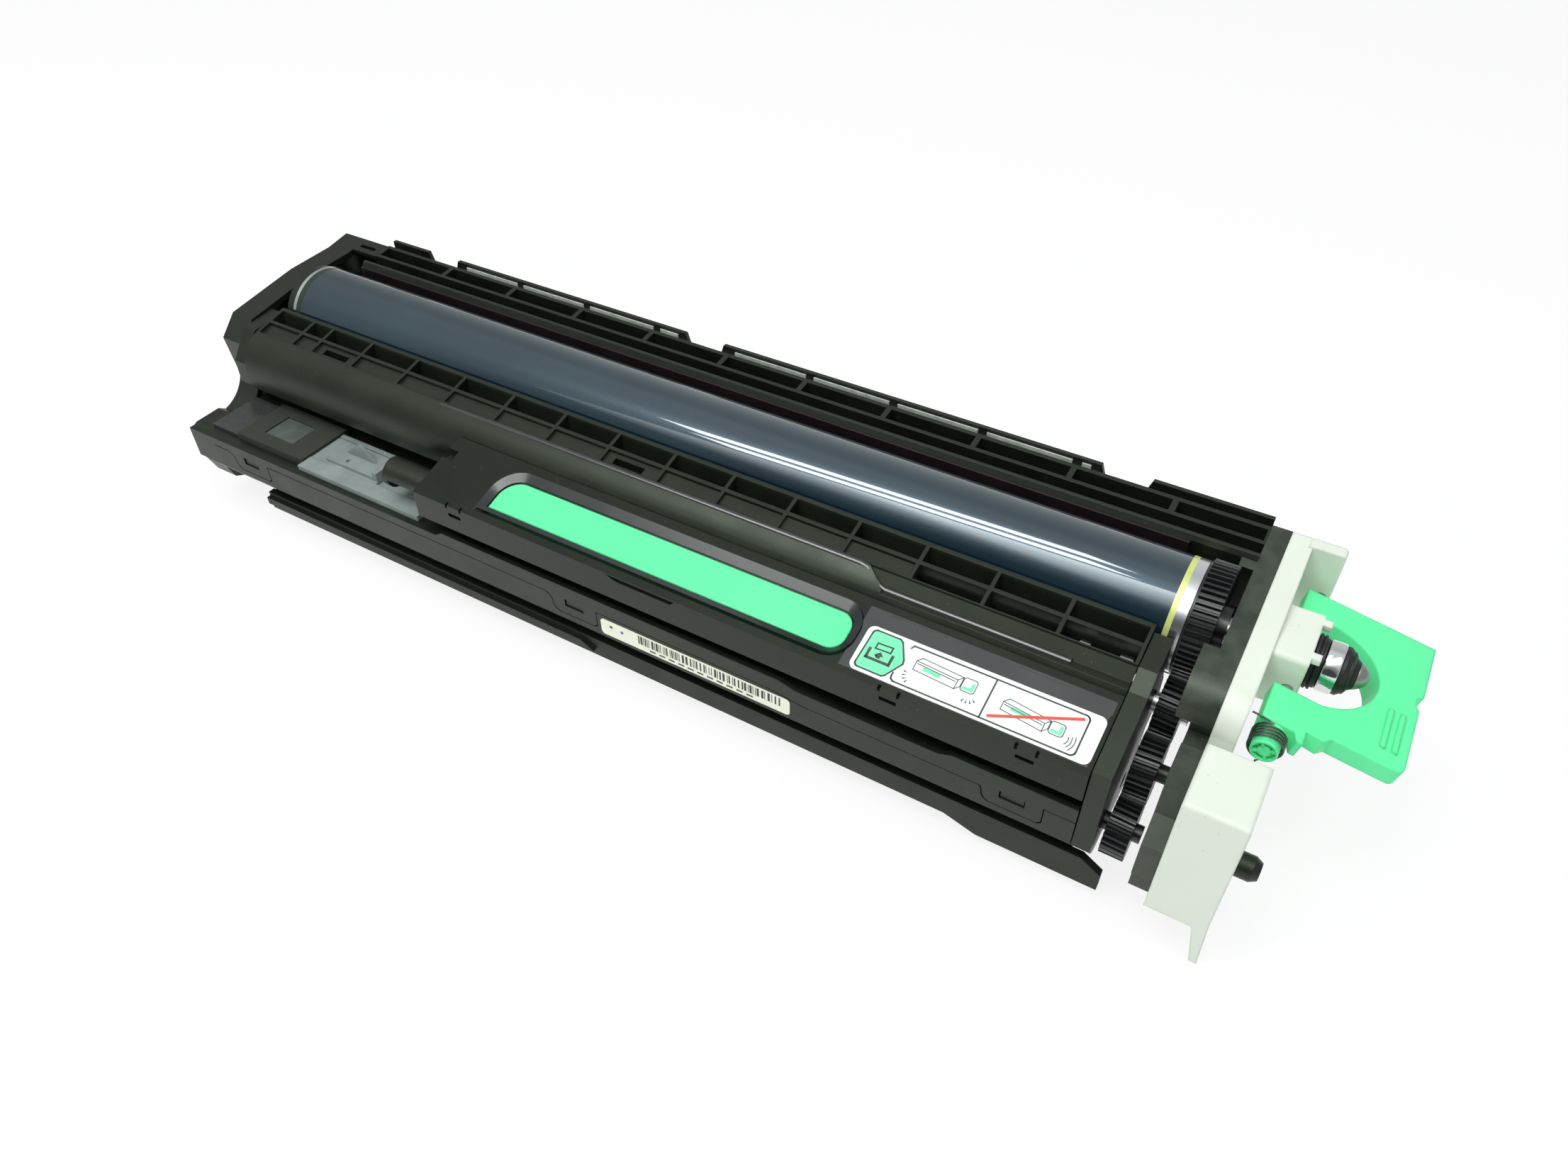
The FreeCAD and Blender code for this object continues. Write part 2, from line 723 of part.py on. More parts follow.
def slopePath(x0, x1, y0, y1, round0, round1):
    return [
        (x0 + round0, y1),
        (x1 - round1, y1),
        ((x1 - round1 * 0.3, y1 - round1 * 0.3), (x1, y1 - round1)),
        (x1, y0 + round1),
        ((x1 - round1 * 0.3, y0 + round1 * 0.3), (x1 - round1, y0)),
        (x0, y0),
        (x0, y1 - round0),
        ((x0 + round0 * 0.3, y1 - round0 * 0.3), (x0 + round0, y1)),
    ]


gripDepth = 1.6
insertWall = 0.7
gripFront = frontFace + 5.6
gripBack = gripFront + 11.5
rimSpread = 3.1
gripPath = slopePath(gripStart, gripEnd, gripFront, gripBack, 7.0, 4.5)
gripColumn = prismUp(seamLevel, 20, gripPath)
slabBack = panelBack[0] - 1.0


def slab(under, thick):
    return prism(panelStart, caseEnd, [
        (slabBack, panelLevel(slabBack) - under),
        (panelInner, panelLevel(panelInner) - under),
        (panelInner, panelLevel(panelInner) - under - thick),
        (slabBack, panelLevel(slabBack) - under - thick),
    ])


def gripWire(level, spread):
    path = slopePath(gripStart - spread, gripEnd + spread, gripFront - spread, gripBack + spread,
                     7.0 + spread, 4.5 + spread)
    return outlineFace(lambda p: FreeCAD.Vector(p[0], p[1], panelLevel(p[1]) + level), path).OuterWire


# The recess has a sloping rim round the insert
recess = Part.makeLoft([gripWire(gripDepth, 2 * rimSpread), gripWire(-gripDepth, airGap)], True, True)
panel = panel.cut(recess)
clipPlaces = [panelStart + 16.5, labelStart + 13.4, labelEnd - 15.0]
for place in clipPlaces:
    window = box(place - 2.5, place + 2.5, frontFace - 1, frontFace + 1.0, panelFront[1] - 4.2,
                 panelFront[1] - 2.8)
    panel = panel.cut(window)
    for side in (-2.8, 2.8):
        notch = box(place + side - 0.4, place + side + 0.4, frontFace - 1, frontFace + 1.2,
                    panelFront[1] - 1.2, panelFront[1] + 1.0)
        panel = panel.cut(notch)
thumbNotch = prismAcross(frontFace - 1, frontFace + 0.8, [
    (gripStart + 48.5, panelFront[1] - 0.5),
    (gripStart + 52.4, panelFront[1] - 2.0),
    (gripStart + 71.4, panelFront[1] - 2.0),
    (gripStart + 73.1, panelFront[1] - 0.5),
])
panel = panel.cut(thumbNotch)
sideSlot = box(panelStart - 1, panelStart + 3.9, gripBack - 2.4, gripBack + 1.2,
               panelLevel(gripBack - 2.4) - 1.6, 20)
panel = panel.cut(sideSlot)
save("grip_panel", panel)
save("grip_insert", gripColumn.common(slab(gripDepth - insertWall, insertWall)))

# Paper labels, laid on the panel and on the case front
labelThick = 0.15
labelColumn = box(labelStart, labelEnd, frontFace + 2.2, panelBack[0] - 9.1, seamLevel, 20)
save("instruction_label", labelColumn.common(slab(-labelThick, labelThick)))
barcodeLabel = box(barLabelStart, barLabelStart + barLabelLength, frontFace - labelThick, frontFace,
                   seamLevel - 9.13, seamLevel - 2.83)
save("barcode_label", barcodeLabel)


# Developing sleeve on its shaft, with the sleeve gear at the right end
sleeve = joined([
    rod(sleeveRadius, caseStart + 4.0, caseEnd - 4.0, sleeveAxis),
    rod(sleeveShaftRadius, leftEndStart + 0.2, gearEnd + 2.0, sleeveAxis),
])
save("developing_sleeve", sleeve)
sleevePhase = meshPhase(drumAxis, drumTeeth, 0.0, sleeveAxis, sleeveTeeth)
sleeveGear = gear(sleeveTeeth, gearModule, gearStart, gearEnd, sleeveAxis,
                  sleeveShaftRadius + runningFit, -gearLean, sleevePhase)
save("sleeve_gear", sleeveGear)

# Idler between the sleeve and the front screw, on a stud of the right side plate
idlerStud = 2.5
idlerPhase = meshPhase(sleeveAxis, sleeveTeeth, sleevePhase, idlerAxis, idlerTeeth)
idlerGear = gear(idlerTeeth, gearModule, gearStart, gearEnd, idlerAxis,
                 idlerStud + runningFit, gearLean, idlerPhase)
save("idler_gear", idlerGear)

# Mixing screws with slanted flights, geared to each other at their left end
frontPhase = meshPhase(idlerAxis, idlerTeeth, idlerPhase, frontScrewAxis, screwTeeth)
frontGear = gear(screwTeeth, gearModule, gearStart, gearEnd, frontScrewAxis,
                 screwShaftRadius + runningFit, -gearLean, frontPhase)
save("front_screw_gear", frontGear)


# A row of slanted eight-sided flights on a shaft
def flights(radius, wall, centre, x0, x1, slant):
    plates = []
    place = x0
    while place < x1:
        path = [polar(centre, radius, 22.5 + 45 * corner) for corner in range(8)]
        plate = prism(place, place + wall, path)
        plate.rotate(FreeCAD.Vector(place, centre[0], centre[1]), FreeCAD.Vector(0, 1, 0), slant)
        plates.append(plate)
        place = place + screwPitch
    return plates


def core(radius, x0, x1, centre):
    return prism(x0, x1, [polar(centre, radius, 22.5 + 45 * corner) for corner in range(8)])


def screw(centre, x1, slant):
    first = pairEnd + screwRadius
    shafts = [
        rod(screwShaftRadius, leftEndStart + 0.2, first - 4.0, centre),
        core(screwShaftRadius, first - 4.0, caseEnd - 3.0, centre),
        rod(screwShaftRadius, caseEnd - 3.0, x1, centre),
    ]
    return joined(shafts + flights(screwRadius, flightWall, centre, first, caseEnd - 8.0, slant))


save("front_screw", screw(frontScrewAxis, gearEnd + 2.0, 35.0))
save("rear_screw", screw(rearScrewAxis, endFrameEnd - 0.5, -35.0))
pairPhase = 0.0
pairGap = meshPhase(frontScrewAxis, pairTeeth, pairPhase, rearScrewAxis, pairTeeth)
save("front_pair_gear", gear(pairTeeth, pairModule, pairStart, pairEnd, frontScrewAxis,
                             screwShaftRadius + runningFit, 0.0, pairPhase))
save("rear_pair_gear", gear(pairTeeth, pairModule, pairStart, pairEnd, rearScrewAxis,
                            screwShaftRadius + runningFit, 0.0, pairGap))

# Doctor blade above the sleeve, standing on the round front of the cover
bladeTurn = 130.0
bladeInner = polar(sleeveAxis, sleeveRadius + developGap, bladeTurn)
bladeOuter = polar(sleeveAxis, sleeveRadius + 8.2, bladeTurn)
bladePath = []
for point, side in ((bladeInner, 0.8), (bladeOuter, 0.8), (bladeOuter, -0.8), (bladeInner, -0.8)):
    bladePath.append(polar(point, side, bladeTurn + 90))
save("doctor_blade", prism(caseStart + 1.0, caseEnd - 1.0, bladePath))


# Rear frame: ridge by the drum, a row of deep cells, the strip channel, tabs, the
# waste trough and the charge roller's housing
housingFloor = rollerAxis[1] - rollerRadius - 2.6
rearPath = [
    (rearFront, 3.0),
    (rearFront, 10.4),
    (rearFront + 0.8, 11.9),
    (rearFront + 2.0, 11.9),
    (rearFront + 2.0, 1.5),
    (cellFront, 1.5),
    (cellFront, rearTop - 0.9),
    (cellBack, rearTop),
    (cellBack, 8.6),
    (rearBack - 1.4, 8.6),
    (rearBack - 1.4, 13.1),
    (rearBack, 13.1),
    (rearBack, housingFloor - 3.0),
    (rearBack - 2.0, housingFloor - 5.0),
    (rollerAxis[0] - 6.2, housingFloor - 5.0),
    (rollerAxis[0] - 7.6, housingFloor - 3.6),
    (rollerAxis[0] - 7.6, rollerAxis[1] - 6.0),
    (rollerAxis[0] - 6.0, rollerAxis[1] - 6.6),
    (rollerAxis[0] - 4.6, housingFloor),
    (rollerAxis[0] + rollerRadius + 1.2, housingFloor),
    (rollerAxis[0] + rollerRadius + 1.2, -10.5),
    (rearFront + 0.3, -7.0),
]
rearFrame = prism(frameStart, frameEnd, rearPath)
wasteTrough = rod(troughWaste, frameStart + 2.0, frameEnd - 4.0, wasteAxis)
wasteHole = rod(wasteShaftRadius + runningFit, frameStart - 1, frameEnd - 2.0, wasteAxis)
wasteMouth = box(frameStart + 6.0, frameEnd - 14.0, rearFront - 2, wasteAxis[0], -5.2, -2.4)
rearFrame = rearFrame.cut(wasteTrough).cut(wasteMouth).cut(wasteHole)
tabStarts = [frameStart, 55.0, 173.0, frameEnd - 34.0]
tabEnds = [39.7, 157.0, frameEnd - 50.0, frameEnd]
tabBase = rearTop - 3.0
for left, right in zip(tabEnds, tabStarts[1:]):
    gap = prismAcross(rearBack - 1.5, rearBack + 1, [
        (left, rearTop + 1.6),
        (left + 1.6, tabBase),
        (right - 1.6, tabBase),
        (right, rearTop + 1.6),
    ])
    rearFrame = rearFrame.cut(gap)
rearRibs = [frameStart]
place = rearRibFirst
while place < frameEnd - 20.0:
    rearRibs.append(place)
    place = place + rearRibPitch
rearRibs.append(frameEnd)
cellFloor = wasteAxis[1] + troughWaste + 2.0
for left, right in zip(rearRibs, rearRibs[1:]):
    cell = box(left + ribWall, right - ribWall / 2, cellFront + 1.3, cellBack - 1.4, cellFloor, rearTop + 2.0)
    rearFrame = rearFrame.cut(cell)
save("rear_frame", rearFrame)

# Pale strip in the channel behind the cells
channelStrip = box(tabStarts[1], tabEnds[2], cellBack + 0.2, rearBack - 1.6, 8.6, 9.6)
save("channel_strip", channelStrip)

# Cleaning blade on its steel bracket, fixed to the ridge
bracketBack = rearFront
bladeBracket = prism(drumStart + 3.0, drumEnd - 8.0, [
    (bracketBack - 1.2, 4.0),
    (bracketBack - 1.2, 10.4),
    (bracketBack, 10.4),
    (bracketBack, 4.0),
])
save("blade_bracket", bladeBracket)
cleaningBlade = prism(drumStart + 3.0, drumEnd - 8.0, [
    (drumRadius + airGap, -1.2),
    (bracketBack - 1.2, 4.0),
    (bracketBack, 4.0),
    (bracketBack - 0.1, -1.2),
])
save("cleaning_blade", cleaningBlade)

# Waste screw with its gear, and the idler between it and the drum shaft
wasteShafts = [
    rod(wasteShaftRadius, leftWall + airGap, frameStart + 3.0, wasteAxis),
    core(wasteShaftRadius, frameStart + 3.0, frameEnd - 5.0, wasteAxis),
    rod(wasteShaftRadius, frameEnd - 5.0, frameEnd - 2.2, wasteAxis),
]
wasteFlights = flights(wasteRadius, 1.2, wasteAxis, frameStart + 8.0, frameEnd - 10.0, 35.0)
save("waste_screw", joined(wasteShafts + wasteFlights))
wasteIdlerPhase = meshPhase(drumAxis, wasteDrumTeeth, 0.0, wasteIdlerAxis, wasteIdlerTeeth)
wasteIdler = gear(wasteIdlerTeeth, wasteModule, wasteGearStart, wasteGearEnd, wasteIdlerAxis,
                  wasteStud + runningFit, 0.0, wasteIdlerPhase)
save("waste_idler_gear", wasteIdler)
wastePhase = meshPhase(wasteIdlerAxis, wasteIdlerTeeth, wasteIdlerPhase, wasteAxis, wasteScrewTeeth)
wasteGear = gear(wasteScrewTeeth, wasteModule, wasteGearStart, wasteGearEnd, wasteAxis,
                 wasteShaftRadius + runningFit, 0.0, wastePhase)
save("waste_screw_gear", wasteGear)

# Charge roller and the two holders that carry its shaft
rollerEnd = drumEnd - 7.0
chargeRoller = joined([
    rod(rollerRadius, drumStart + 6.0, rollerEnd, rollerAxis),
    rod(rollerShaftRadius, frameStart + 0.6, rollerEnd + 6.0, rollerAxis),
])
save("charge_roller", chargeRoller)
holderWall = 2.0
holderPlaces = {"roller_holder_left": frameStart + 0.8, "roller_holder_right": rollerEnd + 1.5}
for name, x0 in holderPlaces.items():
    holder = box(x0, x0 + holderWall, rollerAxis[0] - 4.4, rollerAxis[0] + rollerRadius + 0.8,
                 housingFloor, rollerAxis[1] + 4.2)
    save(name, holder.cut(rod(rollerShaftRadius + runningFit, 0, faceEnd, rollerAxis)))


# Right side plate: black wall with a short rim above and the gear cover steps in front
wallTop = [
    (cellBack + 0.9, rearTop),
    (rearFront + 4.1, rearTop - 1.4),
    (3.4, rearTop - 2.1),
    shifted(coverAxis, 0.0, 15.6),
    (shifted(coverAxis, -5.9, 12.1), shifted(coverAxis, -8.5, 5.6)),
]
rightOutline = wallTop + [
    (frontFace + 28.35, seamLevel + 16.17),
    (frontFace + 20.85, seamLevel + 16.17),
    (frontFace + 18.95, seamLevel + 20.67),
    (frontFace + 9.95, seamLevel + 20.67),
    (frontFace + 7.85, seamLevel + 5.67),
    (frontFace + 0.85, seamLevel + 0.17),
    (frontFace + 0.85, seamLevel - 12.03),
    (frontFace + 4.35, seamLevel - 13.33),
    (frontFace + 4.35, seamLevel - 21.33),
    (frontFace + 9.35, footLevel),
    (cellBack - 2.0, footLevel),
    (cellBack + 0.9, footLevel + 3.0),
]
rightPlate = prism(rightStart, rightEnd, rightOutline)
rimShell = prism(rightStart - rightRim, rightStart, wallTop + [
    shifted(coverAxis, -7.0, 5.6),
    (shifted(coverAxis, -4.7, 10.9), shifted(coverAxis, 0.3, 14.1)),
    (3.4, rearTop - 3.5),
    (rearFront - 0.5, 9.6),
    (rearFront - 0.5, 10.5),
])
rimCut = box(rightStart - 20, rightStart, rearFront - 0.4, 60, -60, 60)
rimShell = rimShell.cut(rimCut)
rimShell = rimShell.cut(rod(drumWindow, 0, rightStart, drumAxis))
rightPlate = joined([rightPlate, rimShell] + [rod(idlerStud, gearStart, rightStart, idlerAxis)])
shaftHole = rod(shaftRadius + runningFit, rightStart - 1, bossEnd + 1, drumAxis)
rightPlate = rightPlate.cut(shaftHole)
save("right_side_plate", rightPlate)

# Pale faceplate with the box in front, the bearing boss and the rear bracket
boxWall = 1.9
boxFront = frontFace - 2.15
boxBack = boxFront + 21.5
boxTop = seamLevel + 24.17
boxFoot = boxTop - 42.5
boxEnd = faceEnd + boxDepth
facePath = wallTop[:4] + [
    (shifted(coverAxis, -7.1, 12.5), shifted(coverAxis, -10.3, 5.5)),
    (boxBack + 3.8, boxTop - 11.5),
    (boxBack - 1.0, boxTop - 11.5),
    (boxBack - 1.0, boxFoot),
    (boxBack + 3.0, footLevel),
    (cellBack - 4.0, footLevel),
    (cellBack + 0.9, footLevel + 5.0),
]
faceSlab = prism(rightEnd, faceEnd, facePath)
gearBox = box(rightEnd, boxEnd, boxFront, boxBack, boxFoot, boxTop)
gearBox = gearBox.makeFillet(1.2, [edge for edge in gearBox.Edges if edge.BoundBox.ZMin > boxTop - 0.1])
gearBox = gearBox.cut(box(rightEnd + boxWall, boxEnd - boxWall, boxFront + boxWall,
                          boxBack - boxWall, boxFoot - 1, boxTop - boxWall))
legTip = boxFoot - 14.0
leg = prismAcross(boxFront, boxFront + 3.6, [
    (boxEnd - 4.2, boxFoot + 3.0),
    (boxEnd, boxFoot + 3.0),
    (boxEnd + 0.9, legTip),
    (boxEnd - 1.1, legTip),
])
bossSide = 10.4
bossTop = 7.6
boss = box(faceEnd - 1, bossEnd, -bossSide, bossSide, -bossSide, bossTop)
boss = boss.makeFillet(1.5, [edge for edge in boss.Edges if abs(edge.BoundBox.XLength) > 2])
fingers = [box(bossEnd - 1, bossEnd + 2.2, y0, y0 + 2.6, 5.9, bossTop) for y0 in (-8.2, 5.6)]
bracketFace = cellBack - 3.2
bracket = box(faceEnd - 1, faceEnd + bracketDepth, bracketFace, cellBack + 0.9, -14.0, rearTop)
bracket = bracket.makeFillet(1.0, [edge for edge in bracket.Edges if edge.BoundBox.XMin > faceEnd])
leverX = faceEnd + 6.3
leverZ = -3.0
faceplate = joined([faceSlab, gearBox, leg, boss, bracket] + fingers)
faceplate = faceplate.cut(shaftHole)
pinSeat = 2.4
frontPinEnd = -34.0
rearPinEnd = bracketFace + pinSeat
pinHoles = [
    (-bossSide - 1, pinSeat - bossSide + airGap),
    (bossSide - pinSeat - airGap, bossSide + 1),
    (bracketFace - 1, rearPinEnd + airGap),
]
for y0, y1 in pinHoles:
    faceplate = faceplate.cut(pinAcross(pinRadius + runningFit, y0, y1, leverX, leverZ))
save("faceplate", faceplate)

# Front bearing on the nose of the drum shaft
noseBore = noseRadius + runningFit
collars = turned([
    (bossEnd + 0.2, noseBore),
    (bossEnd + 0.2, 6.4),
    (bossEnd + 1.3, 7.6),
    (raceStart - 0.1, 6.8),
    (raceStart - 0.1, noseBore),
], drumAxis)
save("bearing_collars", collars)
race = turned([
    (raceStart, noseBore),
    (raceStart, raceRadius - 0.4),
    (raceStart + 0.4, raceRadius),
    (raceEnd - 0.4, raceRadius),
    (raceEnd, raceRadius - 0.4),
    (raceEnd, noseBore),
], drumAxis)
save("bearing_race", race)
rubberCup = turned([
    (raceEnd + 0.05, noseBore),
    (raceEnd + 0.05, raceRadius - 0.4),
    (raceEnd + 1.2, raceRadius - 0.6),
    (cupEnd, raceRadius - 2.2),
    (cupEnd, noseBore),
], drumAxis)
save("rubber_cup", rubberCup)
endRing = turned([
    (tipStart, noseBore),
    (tipStart, 4.4),
    (tipStart + 1.1, 3.7),
    (tipStart + 1.1, noseBore),
], drumAxis)
save("end_ring", endRing)

# Locating pin on the right side of the box
pinPlace = (boxFront + 11.5, boxTop - 26.0)
locatingPin = turned([
    (boxEnd, 0.0),
    (boxEnd, 3.4),
    (boxEnd + 4.2, 3.4),
    (boxEnd + 6.0, 2.4),
    (boxEnd + 6.0, 0.0),
], pinPlace)
save("locating_pin", locatingPin)

# Pull lever, made level about its hinge line and then tilted
leverRear = 26.0
leverFront = -27.0
leverTip = leverX + leverReach
armEnd = leverX - 4.0
eyeFront = -14.0
eyeRear = 16.0
eyeEnd = leverX + 20.0
leverTopZ = leverZ + barrelRadius
eyePath = [
    (armEnd - 2, eyeFront),
    (eyeEnd - 12.0, eyeFront),
    ((eyeEnd - 3.6, eyeFront + 5.4), (eyeEnd, 1.0)),
    ((eyeEnd - 4.2, eyeRear - 4.6), (eyeEnd - 14.0, eyeRear)),
    (armEnd - 2, eyeRear),
]
leverPath = [
    (armEnd, leverRear),
    (leverTip, leverRear),
    (leverTip, 6.0),
    (leverTip - 1.4, 4.5),
    (leverTip - 1.4, 2.0),
    (leverTip - 0.4, 0.5),
    (leverTip - 0.4, -21.0),
    ((leverTip - 1.1, -22.5), (leverTip - 2.6, -23.2)),
    (leverX + 13.0, -23.6),
    (leverX + 11.4, -25.6),
    (leverX + 7.0, -25.2),
    (leverX + 7.0, -29.6),
    (leverX + 5.4, -29.6),
    (leverX + 4.4, leverFront),
    (armEnd, leverFront),
]
lever = prismUp(leverTopZ - leverWall, leverTopZ, leverPath)
eyeRim = [
    (armEnd, eyeFront - 2.2),
    (eyeEnd - 11.0, eyeFront - 2.2),
    ((eyeEnd - 2.0, eyeFront + 3.8), (eyeEnd + 2.2, 1.0)),
    ((eyeEnd - 2.6, eyeRear - 2.9), (eyeEnd - 13.4, eyeRear + 2.2)),
    (armEnd, eyeRear + 2.2),
]
rim = prismUp(leverTopZ - leverWall - 4.0, leverTopZ - 1.0, eyeRim)
rim = rim.cut(box(armEnd - 5, leverX + 6.0, -60, 60, -60, 60))
stub = pinAcross(3.4, leverFront - 6.0, leverFront + 1.0, leverX, leverZ)
barrels = [
    pinAcross(barrelRadius, leverFront, eyeFront - 0.5, leverX, leverZ),
    pinAcross(barrelRadius, eyeRear + 0.5, leverRear, leverX, leverZ),
]
gripRibs = []
for across in (-7.6, -4.6):
    gripRibs.append(prismUp(leverTopZ - 1, leverTopZ + 0.7, [
        (leverTip + across, -18.0),
        (leverTip + across + 1.4, -18.0),
        (leverTip + across + 1.4, -4.0),
        (leverTip + across, -4.0),
    ]))
lever = joined([lever, rim, stub] + barrels + gripRibs)
lever = lever.cut(prismUp(-30, 30, eyePath))
lever = lever.cut(pinAcross(pinRadius + runningFit, -60, 60, leverX, leverZ))
lever.rotate(FreeCAD.Vector(leverX, 0, leverZ), FreeCAD.Vector(0, 1, 0), leverTilt)
save("pull_lever", lever)
save("lever_pin_front", pinAcross(pinRadius, frontPinEnd, pinSeat - bossSide, leverX, leverZ))
save("lever_pin_rear", pinAcross(pinRadius, bossSide - pinSeat, rearPinEnd, leverX, leverZ))


# A coil of square wire about the X axis, lofted through sections along its helix
def coil(radius, wire, pitch, turns, start):
    sections = []
    steps = 12
    for step in range(int(turns * steps) + 1):
        angle = 360.0 * step / steps
        along = start.x + pitch * step / steps
        corners = []
        for out, side in ((-0.5, -0.5), (0.5, -0.5), (0.5, 0.5), (-0.5, 0.5)):
            y, z = polar((start.y, start.z), radius + out * wire, angle)
            corners.append(FreeCAD.Vector(along + side * wire, y, z))
        sections.append(Part.makePolygon(corners + [corners[0]]))
    return Part.makeLoft(sections, True, True)


leverCoil = coil(coilRadius, coilWire, 1.1, 4, FreeCAD.Vector(0, 0, 0))
leverCoil.rotate(FreeCAD.Vector(0, 0, 0), FreeCAD.Vector(0, 0, 1), -90)
leverCoil.translate(FreeCAD.Vector(leverX, leverFront - 0.6, leverZ))
save("lever_spring", leverCoil)

# Toner inlet on the deck: gasket, window, tray, shutter with hook, spring and cone peg
gasketFront = inletFront - 5.0
gasketBack = inletBack + 5.0
gasketWall = 2.8
sheetWall = 0.8
sheetLevel = deckTop + 0.9
tunnelSide = 0.2
sheetFront = inletFront - 1.0
sheetBack = inletBack + 1.0
gasketEnd = gasketStart + gasketLength
gasket = box(gasketStart, gasketEnd, gasketFront, gasketBack, deckTop, deckTop + gasketWall)
gasket = gasket.cut(box(inletStart, inletEnd, inletFront, inletBack, deckTop - 1, 0))
gasket = gasket.cut(box(gasketStart + 2.0, gasketEnd + 1, sheetFront - tunnelSide,
                        sheetBack + tunnelSide, sheetLevel - 0.1, sheetLevel + sheetWall + 0.1))
save("inlet_gasket", gasket)
clearWindow = box(leftRim + 0.8, gasketStart - 0.1, gasketFront + 0.6, gasketBack - 0.6, deckTop,
                  deckTop + 1.2)
save("clear_window", clearWindow)
trayEnd = 112.5
tray = box(gasketEnd + 0.1, trayEnd, frontFace + 2.2, sheetBack + 2.0, deckTop, deckTop + 2.0)
tray = tray.cut(box(gasketEnd, trayEnd - 2.0, sheetFront - tunnelSide, sheetBack + tunnelSide,
                    deckTop + 0.8, deckTop + 3.0))
springSeat = box(trayEnd - 2.0, trayEnd, sheetFront + 2.0, sheetFront + 7.0, deckTop, deckTop + 5.6)
save("shutter_tray", joined([tray, springSeat]))
shutterStart = inletStart - 2.0
shutterEnd = trayEnd - 2.0 - shutterTravel - springSolid
sheetTop = sheetLevel + sheetWall
springAxis = (sheetFront + 4.5, sheetTop + 2.0)
hookFin = prismAcross(sheetBack - 5.0, sheetBack - 4.0, [
    (66.0, sheetTop - 0.2),
    (80.0, sheetTop - 0.2),
    (74.5, sheetTop + 5.6),
    (73.2, sheetTop + 5.6),
])
shutter = joined([
    box(shutterStart, shutterEnd, sheetFront, sheetBack, sheetLevel, sheetTop),
    hookFin,
    box(64.0, shutterEnd - 1.0, sheetFront + 1.0, sheetFront + 2.0, sheetTop - 0.2, sheetTop + 1.4),
    box(shutterEnd - 2.0, shutterEnd, sheetFront + 1.0, sheetFront + 7.0, sheetTop - 0.2, sheetTop + 3.4),
])
shutter = shutter.cut(Part.makeCylinder(0.7, 10, FreeCAD.Vector(70.2, sheetFront + 4.7, sheetLevel - 5)))
save("shutter", shutter)
shutterTurns = 7
shutterWire = 0.4
springStart = FreeCAD.Vector(shutterEnd + shutterWire, springAxis[0], springAxis[1])
springLength = trayEnd - 2.0 - shutterEnd - 2 * shutterWire
save("shutter_spring", coil(1.5, shutterWire, springLength / shutterTurns, shutterTurns, springStart))
hoodAxis = (sheetFront + 1.0, deckTop + 10.47)
hoodStart = 98.0
hoodPlate = rod(5.0, hoodStart, hoodStart + 2.0, hoodAxis)
hood = tube(5.0, 3.9, hoodStart, panelStart - seatGap, hoodAxis)
hood = hood.cut(box(0, 200, -80, 0, hoodAxis[1] - 20, hoodAxis[1]))
save("peg_housing", joined([hoodPlate, hood]))
peg = turned([
    (hoodStart + 2.0, 0.0),
    (hoodStart + 2.0, 2.0),
    (hoodStart + 4.0, 2.0),
    (hoodStart + 11.0, 0.7),
    (hoodStart + 11.0, 0.0),
], hoodAxis)
save("cone_peg", peg)
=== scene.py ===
import bpy
import bmesh
import random
from math import atan, cos, hypot, pi, radians, sin, tan
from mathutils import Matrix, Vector


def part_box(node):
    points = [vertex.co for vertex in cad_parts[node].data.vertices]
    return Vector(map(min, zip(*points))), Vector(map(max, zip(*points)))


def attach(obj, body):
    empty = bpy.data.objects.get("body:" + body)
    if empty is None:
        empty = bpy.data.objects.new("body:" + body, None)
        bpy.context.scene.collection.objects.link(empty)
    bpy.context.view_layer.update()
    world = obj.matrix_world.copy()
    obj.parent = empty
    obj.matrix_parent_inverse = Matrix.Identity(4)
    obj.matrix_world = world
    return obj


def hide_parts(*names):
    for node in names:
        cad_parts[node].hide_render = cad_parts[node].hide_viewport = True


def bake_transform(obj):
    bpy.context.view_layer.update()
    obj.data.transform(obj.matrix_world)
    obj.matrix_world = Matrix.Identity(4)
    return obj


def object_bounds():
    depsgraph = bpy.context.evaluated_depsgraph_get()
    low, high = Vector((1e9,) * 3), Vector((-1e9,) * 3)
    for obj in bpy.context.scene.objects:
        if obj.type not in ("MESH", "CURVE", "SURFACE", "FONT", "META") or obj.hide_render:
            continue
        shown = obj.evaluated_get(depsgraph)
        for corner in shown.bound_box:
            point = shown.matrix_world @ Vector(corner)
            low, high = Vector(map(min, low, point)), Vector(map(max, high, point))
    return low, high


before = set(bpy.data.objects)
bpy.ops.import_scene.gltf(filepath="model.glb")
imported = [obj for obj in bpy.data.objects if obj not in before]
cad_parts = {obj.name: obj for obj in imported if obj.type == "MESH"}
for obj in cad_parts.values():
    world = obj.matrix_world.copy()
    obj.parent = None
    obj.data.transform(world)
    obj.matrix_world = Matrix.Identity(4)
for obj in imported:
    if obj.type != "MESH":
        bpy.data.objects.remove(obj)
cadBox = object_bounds()
mm = 0.001
print("frame loaded,", len(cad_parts), "solids")


# sRGB hex to the linear colour that a shader socket takes
def hexColour(text):
    channels = [int(text[i:i + 2], 16) / 255 for i in (1, 3, 5)]
    return tuple([c / 12.92 if c <= 0.04045 else ((c + 0.055) / 1.055) ** 2.4 for c in channels] + [1.0])


